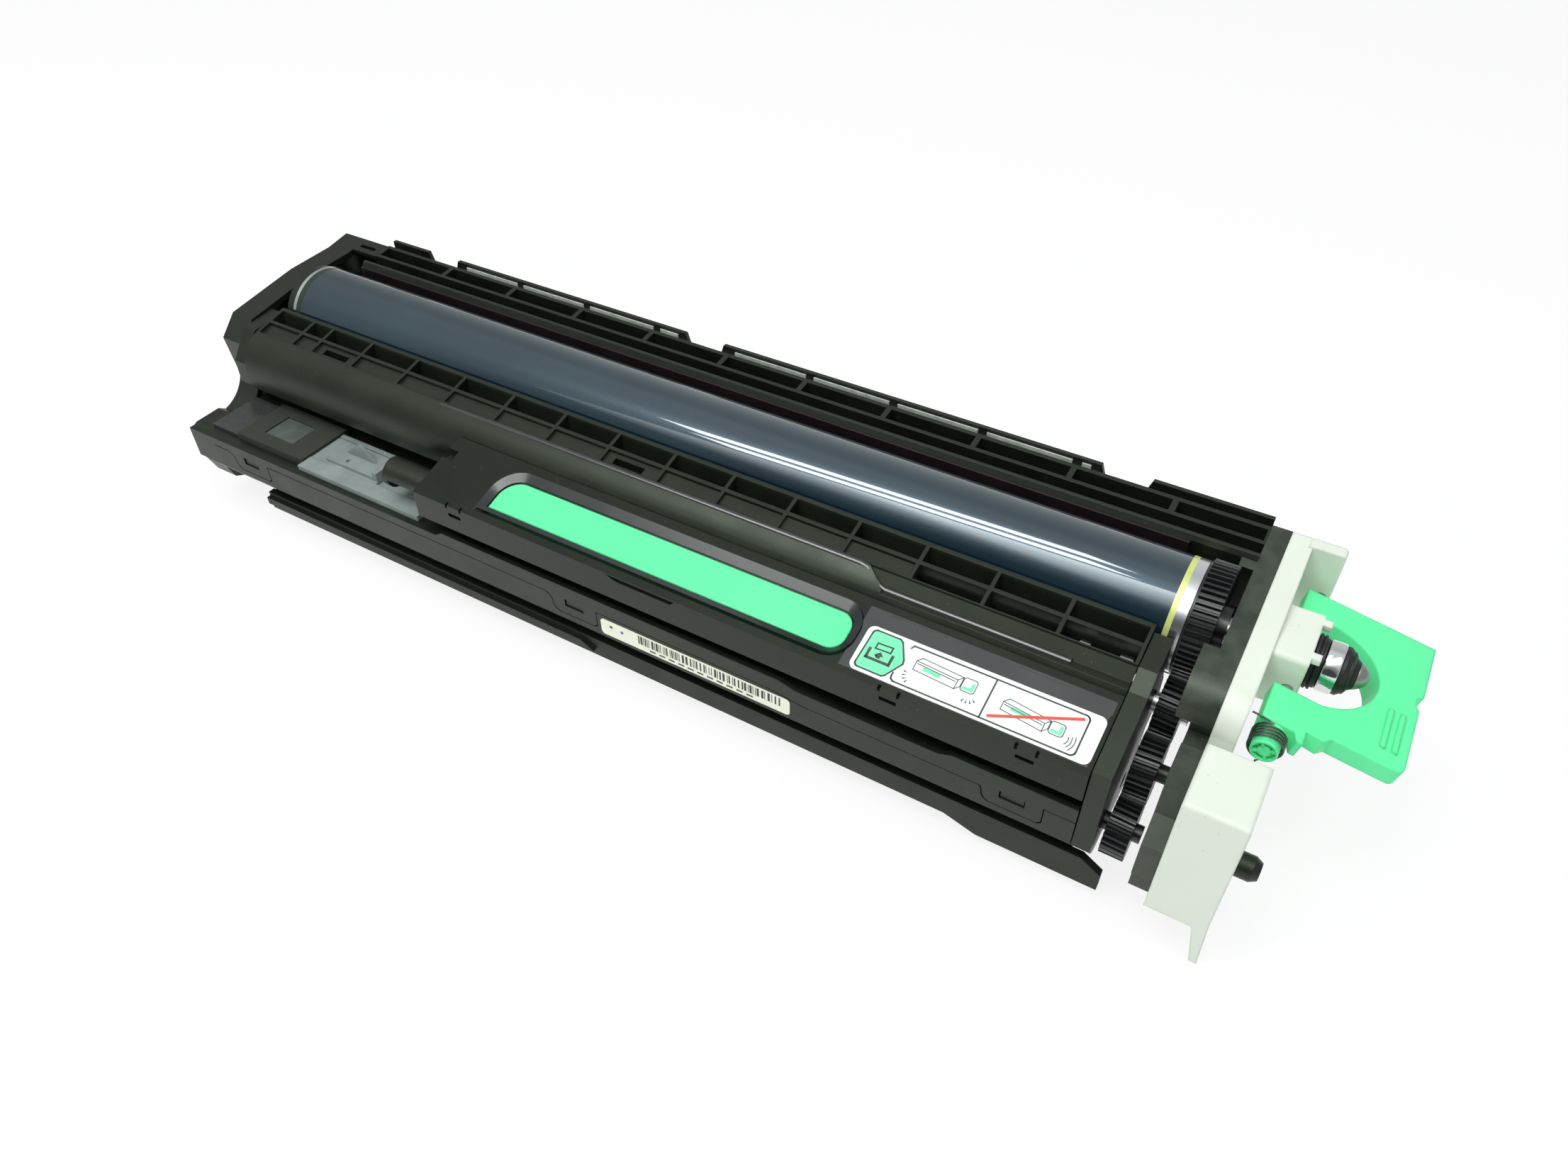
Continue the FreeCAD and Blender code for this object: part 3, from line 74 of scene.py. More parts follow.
# one shader node with its settings (sockets by name or number, or plain properties) and its
# links, where a node stands for its first output
def addNode(tree, kind, settings={}, links={}):
    node = tree.nodes.new("ShaderNode" + kind)
    for name, value in settings.items():
        if isinstance(name, int) or name in node.inputs:
            node.inputs[name].default_value = value
        else:
            setattr(node, name, value)
    for name, source in links.items():
        tree.links.new(source.outputs[0] if hasattr(source, "outputs") else source, node.inputs[name])
    return node


# a material with an empty tree
def newMaterial(name):
    material = bpy.data.materials.new(name)
    material.use_nodes = True
    material.node_tree.nodes.clear()
    return material, material.node_tree


# the stops of a colour ramp, each a place and a grey level
def setRamp(ramp, stops):
    while len(ramp.elements) < len(stops):
        ramp.elements.new(0.5)
    for element, (position, level) in zip(ramp.elements, stops):
        element.position = position
        element.color = (level, level, level, 1)


# What all surfaces share: the part of the mottle's noise in use, a speck's core and edge as
# shares of its cell, where scratches gather and how dull they are, the depth of the grain as a
# share of its size, and in mm the rounding of an edge where the look doesn't say
shared = {"mottle": (0.3, 0.7), "speck": (0.05, 0.09), "scratchPatch": 0.52, "scratchRoughness": 0.85,
          "grainDepth": 0.25, "edge": 0.25, "glowRadius": 1.0}


# A moulded or machined surface. Two noises in real sizes drive it: a fine grain that is
# bump, and a broad mottle that shifts colour and roughness. Edges are rounded a little.
def surface(name, look):
    material, tree = newMaterial(name)
    spot = addNode(tree, "TexCoord").outputs["Object"]
    grain = addNode(tree, "TexNoise", {"Scale": 1 / (look["grain"] * mm), "Detail": 2.0}, {"Vector": spot})
    mottle = addNode(tree, "TexNoise", {"Scale": 1 / (look["mottle"] * mm), "Detail": 4.0},
                     {"Vector": spot}).outputs["Fac"]
    colour = addNode(tree, "Mix",
                     {"data_type": "RGBA", 6: hexColour(look["colour"]), 7: hexColour(look["second"])},
                     {0: mottle}).outputs[2]
    if "speckShare" in look:
        # dust and small nicks, a few per square centimetre
        speck = addNode(tree, "TexVoronoi", {"Scale": 1 / (look["speckGap"] * mm)}, {"Vector": spot})
        near = addNode(tree, "MapRange",
                       {"From Min": shared["speck"][0], "From Max": shared["speck"][1],
                        "To Min": look["speckShare"], "To Max": 0.0}, {"Value": speck.outputs["Distance"]})
        colour = addNode(tree, "Mix", {"data_type": "RGBA", 7: hexColour(look["speckColour"])},
                         {0: near, 6: colour}).outputs[2]
    gloss = addNode(tree, "MapRange",
                    {"From Min": shared["mottle"][0], "From Max": shared["mottle"][1],
                     "To Min": look["roughness"][0], "To Max": look["roughness"][1]}, {"Value": mottle})
    if "scratchGap" in look:
        # long fine scratches: the edges of drawn-out cells, in patches, each dulling the gloss
        along, aside = 1 / (look["scratchLength"] * mm), 1 / (look["scratchGap"] * mm)
        turned = addNode(tree, "Mapping",
                         {"Rotation": (0.0, 0.0, look["scratchTurn"]), "Scale": (along, aside, along)},
                         {"Vector": spot})
        drawn = addNode(tree, "TexVoronoi", {"feature": "DISTANCE_TO_EDGE", "Scale": 1.0},
                        {"Vector": turned})
        halfShare = 0.5 * look["scratchWidth"] / look["scratchGap"]
        line = addNode(tree, "Math", {"operation": "LESS_THAN", 1: halfShare},
                       {0: drawn.outputs["Distance"]})
        patch = addNode(tree, "Math", {"operation": "GREATER_THAN", 1: shared["scratchPatch"]}, {0: mottle})
        cut = addNode(tree, "Math", {"operation": "MULTIPLY"}, {0: line, 1: patch})
        gloss = addNode(tree, "Mix", {"data_type": "FLOAT", "B": shared["scratchRoughness"]},
                        {0: cut, 2: gloss})
    edge = addNode(tree, "Bevel", {"samples": 4, "Radius": look.get("edge", shared["edge"]) * mm})
    bump = addNode(tree, "Bump",
                   {"Strength": look["bump"], "Distance": look["grain"] * shared["grainDepth"] * mm},
                   {"Height": grain.outputs["Fac"], "Normal": edge})
    shader = addNode(tree, "BsdfPrincipled",
                     {"Metallic": look.get("metallic", 0.0), "Coat Weight": look.get("coat", 0.0),
                      "Coat Roughness": look.get("coatRoughness", 0.05),
                      "Transmission Weight": look.get("clear", 0.0),
                      "Specular IOR Level": look.get("shine", 0.5),
                      "Specular Tint": look.get("tint", (1, 1, 1, 1)),
                      "Subsurface Weight": look.get("glow", 0.0),
                      "Subsurface Radius": (shared["glowRadius"] * mm,) * 3},
                     {"Base Color": colour, "Roughness": gloss, "Normal": bump})
    addNode(tree, "OutputMaterial", {}, {"Surface": shader})
    return material


# PC/ABS, injection moulded in a spark-eroded tool: near black, satin, a fine even grain. Its
# black is a dark green-brown one, so the light that it throws back has a touch of green.
oliveTint = (0.88, 1.0, 0.82, 1)
blackHousing = surface("mouldedBlackPcAbs", {
    "colour": "#10130f", "second": "#191d16", "grain": 0.3, "mottle": 14, "bump": 0.25, "tint": oliveTint,
    "roughness": (0.34, 0.46), "speckGap": 2.6, "speckShare": 0.22, "speckColour": "#7d8078"})
# the same plastic where hands and the machine rub it: the right side plate, with a dusty bloom
scuffedHousing = surface("scuffedBlackPcAbs", {
    "colour": "#121512", "second": "#4a5048", "grain": 0.3, "mottle": 5, "bump": 0.25, "tint": oliveTint,
    "roughness": (0.28, 0.5), "speckGap": 1.3, "speckShare": 0.5, "speckColour": "#7d807a"})
# the same plastic under the skirt, a touch darker as painted shade, and rubbed dull (rougher)
shadedDullHousing = surface("paintedShadeDullBlackPcAbs", {
    "colour": "#0f110e", "second": "#171a14", "grain": 0.4, "mottle": 12, "bump": 0.3, "tint": oliveTint,
    "roughness": (0.45, 0.55), "speckGap": 3.0, "speckShare": 0.2, "speckColour": "#5e605a"})
# the same plastic from a polished tool, on the grip panel: smoother, so it mirrors the lamps softly
blackPanel = surface("polishedBlackPcAbs", {
    "colour": "#0f120f", "second": "#171b15", "grain": 0.5, "mottle": 20, "bump": 0.08, "tint": oliveTint,
    "roughness": (0.26, 0.36), "shine": 0.38,
    "speckGap": 3.4, "speckShare": 0.25, "speckColour": "#7d8078"})
# the same plastic, polished to a high gloss on the cover's rounded edge
glossEdge = surface("glossBlackPcAbs", {
    "colour": "#0c0e0c", "second": "#141712", "grain": 0.5, "mottle": 12, "bump": 0.04,
    "roughness": (0.26, 0.32), "shine": 1.0, "coat": 0.6, "coatRoughness": 0.16})
# polyester film, clear and glossy, laid round the label: black plastic seen through a scratched gloss
glossFilm = surface("clearGlossFilm", {
    "colour": "#14161a", "second": "#1c1e22", "grain": 3.0, "mottle": 16, "bump": 0.03,
    "roughness": (0.18, 0.26), "shine": 1.0, "coat": 0.6, "coatRoughness": 0.12,
    "scratchLength": 60, "scratchGap": 5.5, "scratchWidth": 0.2, "scratchTurn": 0.2})
# acetal, moulded: the gears, harder and with a greasy shine
blackAcetal = surface("greasedBlackAcetal", {
    "colour": "#0e0f10", "second": "#1a1c1e", "grain": 0.4, "mottle": 3, "bump": 0.1,
    "roughness": (0.22, 0.4), "coat": 0.25, "coatRoughness": 0.2, "edge": 0.12})
# ABS in pale grey-green, moulded: chalky white in the light, soft grain, a few scuffs
paleFace = surface("mouldedPaleAbs", {
    "colour": "#dbe1d5", "second": "#e3e8de", "grain": 0.35, "mottle": 18, "bump": 0.12,
    "roughness": (0.4, 0.5), "speckGap": 4.5, "speckShare": 0.25, "speckColour": "#9aa096", "edge": 0.9})
# ABS in mint green, moulded: a bright flat green with a soft sheen
mintAbs = surface("mouldedMintAbs", {
    "colour": "#5aeda0", "second": "#66f4aa", "grain": 0.4, "mottle": 22, "bump": 0.08,
    "roughness": (0.36, 0.44), "glow": 0.08, "edge": 1.0})
# aluminium, drawn and diamond turned: a bright mirror with faint turning lines
turnedAluminium = surface("diamondTurnedAluminium", {
    "colour": "#dfe2e6", "second": "#eceef0", "grain": 0.3, "mottle": 6, "bump": 0.03,
    "roughness": (0.2, 0.28), "metallic": 1.0})
# carbon steel, bright drawn: shafts, pins and the blade, satin grey
drawnSteel = surface("brightDrawnSteel", {
    "colour": "#a9adb0", "second": "#bfc2c4", "grain": 0.3, "mottle": 5, "bump": 0.06,
    "roughness": (0.2, 0.32), "metallic": 1.0})
# chrome steel, ground and polished: the bearing ring, a clear mirror
bearingSteel = surface("polishedBearingSteel", {
    "colour": "#d8dadb", "second": "#e2e3e4", "grain": 0.6, "mottle": 8, "bump": 0.02,
    "roughness": (0.05, 0.09), "metallic": 1.0})
# polyester felt, pale and blotchy: the strip behind the cells
feltStrip = surface("blotchyPaleFelt", {
    "colour": "#8b908a", "second": "#dde2da", "grain": 0.5, "mottle": 3.0, "bump": 0.15,
    "roughness": (0.2, 0.45)})
# nitrile rubber, moulded: matt black with a slight bloom
nitrileRubber = surface("mouldedNitrileRubber", {
    "colour": "#121313", "second": "#1d1e1f", "grain": 0.25, "mottle": 4, "bump": 0.2,
    "roughness": (0.45, 0.6)})
# polyurethane, cast: the cleaning blade, dark amber
castUrethane = surface("castUrethane", {
    "colour": "#1c1112", "second": "#281719", "grain": 0.5, "mottle": 9, "bump": 0.05,
    "roughness": (0.25, 0.35)})
# steel sheet under a brown-black primer: the blade's bracket
primedSteel = surface("primedBracketSteel", {
    "colour": "#171012", "second": "#231719", "grain": 0.4, "mottle": 12, "bump": 0.08,
    "roughness": (0.32, 0.42)})
# polypropylene, natural, moulded: the inlet's slider and tray, milky and see-through
milkyPolypropylene = surface("naturalPolypropylene", {
    "colour": "#8b9796", "second": "#bac5c3", "grain": 0.5, "mottle": 9, "bump": 0.03,
    "roughness": (0.22, 0.28), "clear": 0.35, "edge": 0.4})
# polyester sheet, clear, smeared and dusty inside: the left window, dark behind a smoky film
smokyWindow = surface("smearedClearPolyester", {
    "colour": "#5f6764", "second": "#8a928f", "grain": 1.0, "mottle": 5, "bump": 0.08,
    "roughness": (0.12, 0.4), "clear": 0.8})
# a dim grey sheet over the slider's window: painted shade for the deep inlet, where the slider lies in
# shadow
paintedShadePane = surface("paintedShadeInletPane", {
    "colour": "#2c302e", "second": "#6a716e", "grain": 1.0, "mottle": 9, "bump": 0.04,
    "roughness": (0.15, 0.3)})
# polycarbonate, moulded smooth: the sloping rim round the grip, a soft mirror
smoothRim = surface("smoothBlackRim", {
    "colour": "#14181a", "second": "#1b2022", "grain": 2.0, "mottle": 20, "bump": 0.02,
    "roughness": (0.16, 0.22), "shine": 0.7, "coat": 0.3, "coatRoughness": 0.12})
# urethane foam, cut from sheet: the inlet's gasket, dull charcoal with open cells
sealFoam = surface("cutSealFoam", {
    "colour": "#262922", "second": "#33372f", "grain": 0.6, "mottle": 3, "bump": 0.6,
    "roughness": (0.7, 0.85)})
# epichlorohydrin rubber, ground: the charge roller
groundRubber = surface("groundConductiveRubber", {
    "colour": "#1a1a1b", "second": "#242425", "grain": 0.15, "mottle": 6, "bump": 0.15,
    "roughness": (0.4, 0.5)})
# ABS in light grey, moulded: the toner inlet's cone peg
greyPeg = surface("mouldedGreyAbs", {
    "colour": "#8f918f", "second": "#9fa19f", "grain": 0.3, "mottle": 6, "bump": 0.08,
    "roughness": (0.35, 0.45)})
# steel, turned and dulled: the nose of the drum shaft
turnedNose = surface("turnedNoseSteel", {
    "colour": "#8f918c", "second": "#a3a59f", "grain": 0.3, "mottle": 4, "bump": 0.06,
    "roughness": (0.3, 0.42), "metallic": 0.8})
# coated paper, cream white: the barcode label
creamPaper = surface("coatedCreamPaper", {
    "colour": "#f0f0dc", "second": "#f5f5e6", "grain": 0.3, "mottle": 9, "bump": 0.04,
    "roughness": (0.35, 0.45), "edge": 0.05})
# polyester film, printed under gloss: labels, a clear smooth white
labelFilm = surface("glossyLabelFilm", {
    "colour": "#e9ede9", "second": "#f0f3f0", "grain": 0.6, "mottle": 15, "bump": 0.02,
    "roughness": (0.22, 0.28), "edge": 0.05})


# screen printing ink on the film
def screenInk(name, colour, second):
    return surface(name, {"colour": colour, "second": second, "grain": 0.4, "mottle": 8, "bump": 0.03,
                          "roughness": (0.3, 0.36)})


inkBlack = screenInk("screenInkBlack", "#242625", "#303231")
inkGrey = screenInk("screenInkGrey", "#3a4341", "#46504d")
inkMint = screenInk("screenInkMint", "#74e3ae", "#7febb8")
inkRed = screenInk("screenInkRed", "#d9483f", "#e2574c")
inkBlue = screenInk("screenInkBlue", "#2f5aa8", "#3764b2")
# primer at the coating's edge: a yellow-green tint over the aluminium
edgePrimer = surface("tintedEdgePrimer", {
    "colour": "#cfdc7c", "second": "#e4ec95", "grain": 0.4, "mottle": 4, "bump": 0.03,
    "roughness": (0.25, 0.35), "metallic": 0.35})
# the coating's left edge, where the dipped layer is thin: olive over the aluminium
thinCoating = surface("thinCoatingEdge", {
    "colour": "#333f36", "second": "#414e43", "grain": 0.4, "mottle": 6, "bump": 0.02,
    "roughness": (0.14, 0.2), "metallic": 0.5})
# spring steel, oil hardened: the two coils, dark with a bright edge
springSteel = surface("oiledSpringSteel", {
    "colour": "#56564f", "second": "#6a6a62", "grain": 0.3, "mottle": 3, "bump": 0.05,
    "roughness": (0.2, 0.3), "metallic": 1.0})
print("materials made")


# The drum's coating: an organic photoconductor dipped on aluminium, slate blue and
# glossy, with a clear top layer and faint rings from the turning under it.
drumLook = {"colour": "#1d3d49", "deep": "#12273b", "ring": 1.6, "ringTurn": 6.28, "ringWaver": 1.5,
            "ringShare": 0.12, "cloud": 45, "roughness": (0.2, 0.28), "metallic": 0.5,
            "coatRoughness": 0.03, "coatIor": 1.75}


def photoconductor(look):
    material, tree = newMaterial("photoconductorCoating")
    spot = addNode(tree, "TexCoord").outputs["Object"]
    rings = addNode(tree, "TexWave",
                    {"wave_type": "BANDS", "bands_direction": "X", "Detail": 2.0,
                     "Scale": 1 / (look["ring"] * mm) / look["ringTurn"], "Distortion": look["ringWaver"]},
                    {"Vector": spot})
    cloud = addNode(tree, "TexNoise", {"Scale": 1 / (look["cloud"] * mm), "Detail": 3.0},
                    {"Vector": spot}).outputs["Fac"]
    blend = addNode(tree, "Math", {"operation": "MULTIPLY_ADD", 1: look["ringShare"]},
                    {0: rings.outputs["Fac"], 2: cloud})
    colour = addNode(tree, "Mix",
                     {"data_type": "RGBA", 6: hexColour(look["deep"]), 7: hexColour(look["colour"])},
                     {0: blend})
    rough = addNode(tree, "MapRange", {"To Min": look["roughness"][0], "To Max": look["roughness"][1]},
                    {"Value": cloud})
    shader = addNode(tree, "BsdfPrincipled",
                     {"Metallic": look["metallic"], "Coat Weight": 1.0,
                      "Coat Roughness": look["coatRoughness"], "Coat IOR": look["coatIor"]},
                     {"Base Color": colour.outputs[2], "Roughness": rough})
    addNode(tree, "OutputMaterial", {}, {"Surface": shader})
    return material


drumCoating = photoconductor(drumLook)

# Which finish each solid of the frame wears
finishes = {
    blackHousing: ["left_side_plate", "developer_end_left", "developer_case", "developer_lid",
                   "developer_end_right", "developer_cover", "rear_frame", "peg_housing",
                   "locating_pin", "roller_holder_left", "roller_holder_right", "drum_flange_left"],
    scuffedHousing: ["right_side_plate"],
    # the lower rail wears the darker copy: painted shade under the skirt
    shadedDullHousing: ["lower_rail"],
    blackPanel: ["grip_panel"],
    blackAcetal: ["drum_gear_flange", "sleeve_gear", "idler_gear", "front_screw_gear",
                  "front_pair_gear", "rear_pair_gear", "waste_drive_gear", "waste_idler_gear",
                  "waste_screw_gear", "front_screw", "rear_screw", "waste_screw"],
    paleFace: ["faceplate"],
    mintAbs: ["pull_lever", "grip_insert"],
    turnedAluminium: ["developing_sleeve", "drum_tube"],
    primedSteel: ["blade_bracket"],
    drawnSteel: ["drum_shaft", "developer_rod", "doctor_blade", "lever_pin_front",
                 "lever_pin_rear", "lever_spring", "shutter_spring"],
    bearingSteel: ["bearing_race"],
    feltStrip: ["channel_strip"],
    nitrileRubber: ["bearing_collars", "rubber_cup", "end_ring"],
    castUrethane: ["cleaning_blade"],
    milkyPolypropylene: ["shutter", "shutter_tray"],
    smokyWindow: ["clear_window"],
    sealFoam: ["inlet_gasket"],
    groundRubber: ["charge_roller"],
    greyPeg: ["cone_peg"],
    labelFilm: ["instruction_label", "barcode_label"],
}
for finish, names in finishes.items():
    for name in names:
        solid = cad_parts[name]
        solid.data.materials.clear()
        solid.data.materials.append(finish)
# the moulded edges that the eye meets first are rounded in the mesh as well: radii in mm, the
# distance at which corners are joined, and the angles of a plain face and of an edge in degrees
roundedEdges = {"radii": {"pull_lever": 0.8, "faceplate": 0.7}, "joined": 0.002, "plain": 1, "edge": 40,
                "segments": 3}
for name, radius in roundedEdges["radii"].items():
    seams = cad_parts[name].modifiers.new("joinedFaces", "WELD")
    seams.merge_threshold = roundedEdges["joined"] * mm
    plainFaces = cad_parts[name].modifiers.new("plainFaces", "DECIMATE")
    plainFaces.decimate_type = "DISSOLVE"
    plainFaces.angle_limit = radians(roundedEdges["plain"])
    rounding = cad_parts[name].modifiers.new("mouldedEdge", "BEVEL")
    rounding.width = radius * mm
    rounding.segments = roundedEdges["segments"]
    rounding.limit_method = "ANGLE"
    rounding.angle_limit = radians(roundedEdges["edge"])
    rounding.harden_normals = True
print("solids finished")


def addObject(name, data):
    thing = bpy.data.objects.new(name, data)
    bpy.context.scene.collection.objects.link(thing)
    return thing


def newPiece(name, mesh, materials, body):
    piece = addObject(name, mesh)
    for material in materials:
        mesh.materials.append(material)
    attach(piece, body)
    return piece


# The faces gathered in a bmesh, as a piece of its own, turned outward where they close round it
def meshPiece(name, shape, materials, body, outward=True):
    if outward:
        bmesh.ops.recalc_face_normals(shape, faces=shape.faces)
    mesh = bpy.data.meshes.new(name)
    shape.to_mesh(mesh)
    shape.free()
    return newPiece(name, mesh, materials, body)


# A body turned about X, or about Y: place and radius in mm, with a material number where it
# isn't the first
def turnedPiece(name, profile, centre, materials, body, turns=160, axis="X"):
    shape = bmesh.new()
    rings = []
    for along, radius, *slot in profile:
        ring = []
        for k in range(turns):
            angle = 2 * pi * k / turns
            across, up = centre[0] + radius * cos(angle), centre[1] + radius * sin(angle)
            corner = Vector((along, across, up) if axis == "X" else (across, along, up))
            ring.append(shape.verts.new(corner * mm))
        rings.append((ring, slot[0] if slot else 0))
    for (ring, slot), (following, _) in zip(rings, rings[1:] + rings[:1]):
        for k in range(turns):
            n = (k + 1) % turns
            face = shape.faces.new((ring[k], ring[n], following[n], following[k]))
            face.material_index = slot
            face.smooth = True
    piece = meshPiece(name, shape, materials, body)
    piece.data.set_sharp_from_angle(angle=radians(35))
    return piece


# Drum tube: bare aluminium at both ends, the coating between, thin at its left edge and with a
# primer line at the right
drumTube = {"radius": 16.0, "wall": 1.0, "start": 19.3, "end": 344.0, "coatStart": 20.9, "thinEnd": 23.4,
            "coatEnd": 339.35, "primerEnd": 340.9, "chamfer": 0.25}


def drumProfile(tube):
    start, end, outer = tube["start"], tube["end"], tube["radius"]
    inner, chamfer = outer - tube["wall"], tube["chamfer"]
    return [(start, inner, 1), (start, outer - chamfer, 1), (start + chamfer, outer, 1),
            (tube["coatStart"], outer, 3), (tube["thinEnd"], outer, 0), (tube["coatEnd"], outer, 2),
            (tube["primerEnd"], outer, 1), (end - chamfer, outer, 1), (end, outer - chamfer, 1),
            (end, inner, 1)]


drumShell = turnedPiece("drumShell", drumProfile(drumTube), (0, 0),
                        [drumCoating, turnedAluminium, edgePrimer, thinCoating], "drum", 256)
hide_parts("drum_tube")
print("drum turned")


# A curve of round section through points in mm
def roundCurve(name, points, radius, resolution):
    curve = bpy.data.curves.new(name, "CURVE")
    curve.dimensions = "3D"
    curve.bevel_depth = radius * mm
    curve.bevel_resolution = resolution
    curve.use_fill_caps = True
    spline = curve.splines.new("POLY")
    spline.points.add(len(points) - 1)
    for point, (x, y, z) in zip(spline.points, points):
        point.co = (x * mm, y * mm, z * mm, 1)
    return curve


# Round steel wire bent to a coil, drawn as a curve and kept as its mesh
def wirePiece(name, points, radius, node):
    curve = roundCurve(name, points, radius, 4)
    curve.splines[0].use_smooth = True
    rough = bpy.data.objects.new(name + "Path", curve)
    mesh = bpy.data.meshes.new_from_object(rough)
    bpy.data.objects.remove(rough)
    mesh.materials.clear()
    mesh.materials.append(springSteel)
    wire = addObject(name, mesh)
    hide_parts(node)
    return wire


# Points of a coil: the place along its axis, then the two across it
def coilPoints(spring):
    coil = []
    for k in range(int(spring["turns"] * spring["perTurn"]) + 1):
        angle = 2 * pi * k / spring["perTurn"]
        coil.append((spring["start"] + spring["pitch"] * k / spring["perTurn"],
                     spring["centre"][0] + spring["radius"] * cos(angle),
                     spring["centre"][1] + spring["radius"] * sin(angle)))
    return coil


# one leg stands on the faceplate's box, the other leans on its boss
leverSpring = {"centre": (372.0, -3.0), "start": -27.8, "pitch": -1.1, "turns": 4.75, "perTurn": 32,
               "radius": 4.15, "wire": 0.27, "bent": 8,
               "boxLeg": [(366.4, -27.4, 1.9), (369.2, -27.5, 1.5)],
               "bossLeg": [(371.0, -33.6, -7.4), (371.2, -38.2, -8.6)]}
leverCoil = [(across, along, up) for along, across, up in coilPoints(leverSpring)[leverSpring["bent"]:]]
leverWire = wirePiece("leverSpringWire", leverSpring["boxLeg"] + leverCoil + leverSpring["bossLeg"],
                      leverSpring["wire"], "lever_spring")
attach(leverWire, "frame")

shutterSpring = {"centre": (-46.5, -19.27), "start": 88.4, "end": 110.1, "turns": 11, "perTurn": 24,
                 "radius": 1.5, "wire": 0.18, "reach": 2.7}
shutterSpring["pitch"] = (shutterSpring["end"] - shutterSpring["start"]) / shutterSpring["turns"]
shutterWire = wirePiece("shutterSpringWire", coilPoints(shutterSpring), shutterSpring["wire"],
                        "shutter_spring")
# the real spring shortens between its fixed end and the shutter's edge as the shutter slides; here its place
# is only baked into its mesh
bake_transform(shutterWire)
print("springs wound")


# The cover's rounded edge: a thin bead along it, down the step and along the ledge to the clip
coverBead = {"radius": 1.2, "path": [(104.0, -29.2, 3.1), (150.0, -29.2, 3.35), (259.0, -29.2, 3.35),
                                     (261.5, -29.5, 3.05), (266.5, -32.1, 0.45), (268.5, -32.5, 0.15),
                                     (280.0, -32.5, 0.15), (322.0, -32.5, 0.15)]}
bead = newPiece("coverBead", roundCurve("coverBead", coverBead["path"], coverBead["radius"], 8),
                [glossEdge], "frame")
print("cover bead laid")


# Flat printing on a label. A label's sheet says where its corner is and which way its
# two directions run, and the print stands a hair above it.
def printed(name, sheet, outlines, material):
    shape = bmesh.new()
    for outline in outlines:
        shape.faces.new([shape.verts.new(sheet(u, v)) for u, v in outline])
    bmesh.ops.triangulate(shape, faces=shape.faces)
    piece = meshPiece(name, shape, [material], "frame", False)


# A drawn line of one width through points, as one quad for each run with its ends joined
def stroke(points, width, closed=False):
    quads = []
    for a, b in zip(points, points[1:] + points[:1] if closed else points[1:]):
        du, dv = b[0] - a[0], b[1] - a[1]
        length = hypot(du, dv)
        u, v = du / length * width / 2, dv / length * width / 2
        quads.append([(a[0] - u - v, a[1] - v + u), (b[0] + u - v, b[1] + v + u),
                      (b[0] + u + v, b[1] + v - u), (a[0] - u + v, a[1] - v - u)])
    return quads


def arcPoints(cu, cv, radius, start, end, steps=6):
    angles = [radians(start + (end - start) * k / steps) for k in range(steps + 1)]
    return [(cu + radius * cos(angle), cv + radius * sin(angle)) for angle in angles]


def roundedBox(u0, u1, v0, v1, radius, steps=5):
    return (arcPoints(u1 - radius, v1 - radius, radius, 0, 90, steps)
            + arcPoints(u0 + radius, v1 - radius, radius, 90, 180, steps)
            + arcPoints(u0 + radius, v0 + radius, radius, 180, 270, steps)
            + arcPoints(u1 - radius, v0 + radius, radius, 270, 360, steps))


def upright(left, right, span):
    return [(left, span[0]), (right, span[0]), (right, span[1]), (left, span[1])]


def shifted(outline, u, v):
    return [(u + du, v + dv) for du, dv in outline]


# A thin sheet with rounded corners on a label's place, from its outline in u and v
def sheetPiece(name, sheet, outline, material, top, thick):
    shape = bmesh.new()
    upper = [shape.verts.new(sheet(u, v, top)) for u, v in outline]
    lower = [shape.verts.new(sheet(u, v, top - thick)) for u, v in outline]
    shape.faces.new(upper)
    shape.faces.new(list(reversed(lower)))
    for k in range(len(upper)):
        n = (k + 1) % len(upper)
        shape.faces.new((upper[k], lower[k], lower[n], upper[n]))
    piece = meshPiece(name, shape, [material], "frame")
    return piece


# Instruction label: u runs right from its left edge, v up the slope from its front edge
labelLow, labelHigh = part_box("instruction_label")
filmThick = 0.15 * mm
panelRise = atan((labelHigh.z - labelLow.z - filmThick) / (labelHigh.y - labelLow.y))


def instructionSheet(u, v, lift=0.0):
    run = v * mm * cos(panelRise)
    return Vector((labelLow.x + u * mm, labelLow.y + run,
                   labelLow.z + filmThick + run * tan(panelRise) + lift * mm))


# The film is laid in its recess, and the gloss film under it runs on round it
film = {"width": 66.6, "height": (labelHigh.y - labelLow.y) / mm / cos(panelRise), "corner": 2.0,
        "margin": 0.02, "top": -0.01, "thick": 0.12}
glossSheet = {"left": -2.6, "right": 66.4, "wide": 66.9, "front": -0.2, "step": (0.6, 1.4), "back": 5.4,
              "top": -0.12, "thick": 0.05}
labelPath = roundedBox(film["margin"], film["width"] - film["margin"], film["margin"],
                       film["height"] - film["margin"], film["corner"])
labelSheet = sheetPiece("instructionFilm", instructionSheet, labelPath, labelFilm,
                        film["top"], film["thick"])
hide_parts("instruction_label")
glossBack = film["height"] + glossSheet["back"]
glossPath = [(glossSheet["left"], glossSheet["front"]), (glossSheet["right"], glossSheet["front"]),
             (glossSheet["right"], film["height"] + glossSheet["step"][0]),
             (glossSheet["wide"], film["height"] + glossSheet["step"][1]),
             (glossSheet["wide"], glossBack), (glossSheet["left"], glossBack)]
sheetPiece("labelGlossFilm", instructionSheet, glossPath, glossFilm,
           glossSheet["top"], glossSheet["thick"])

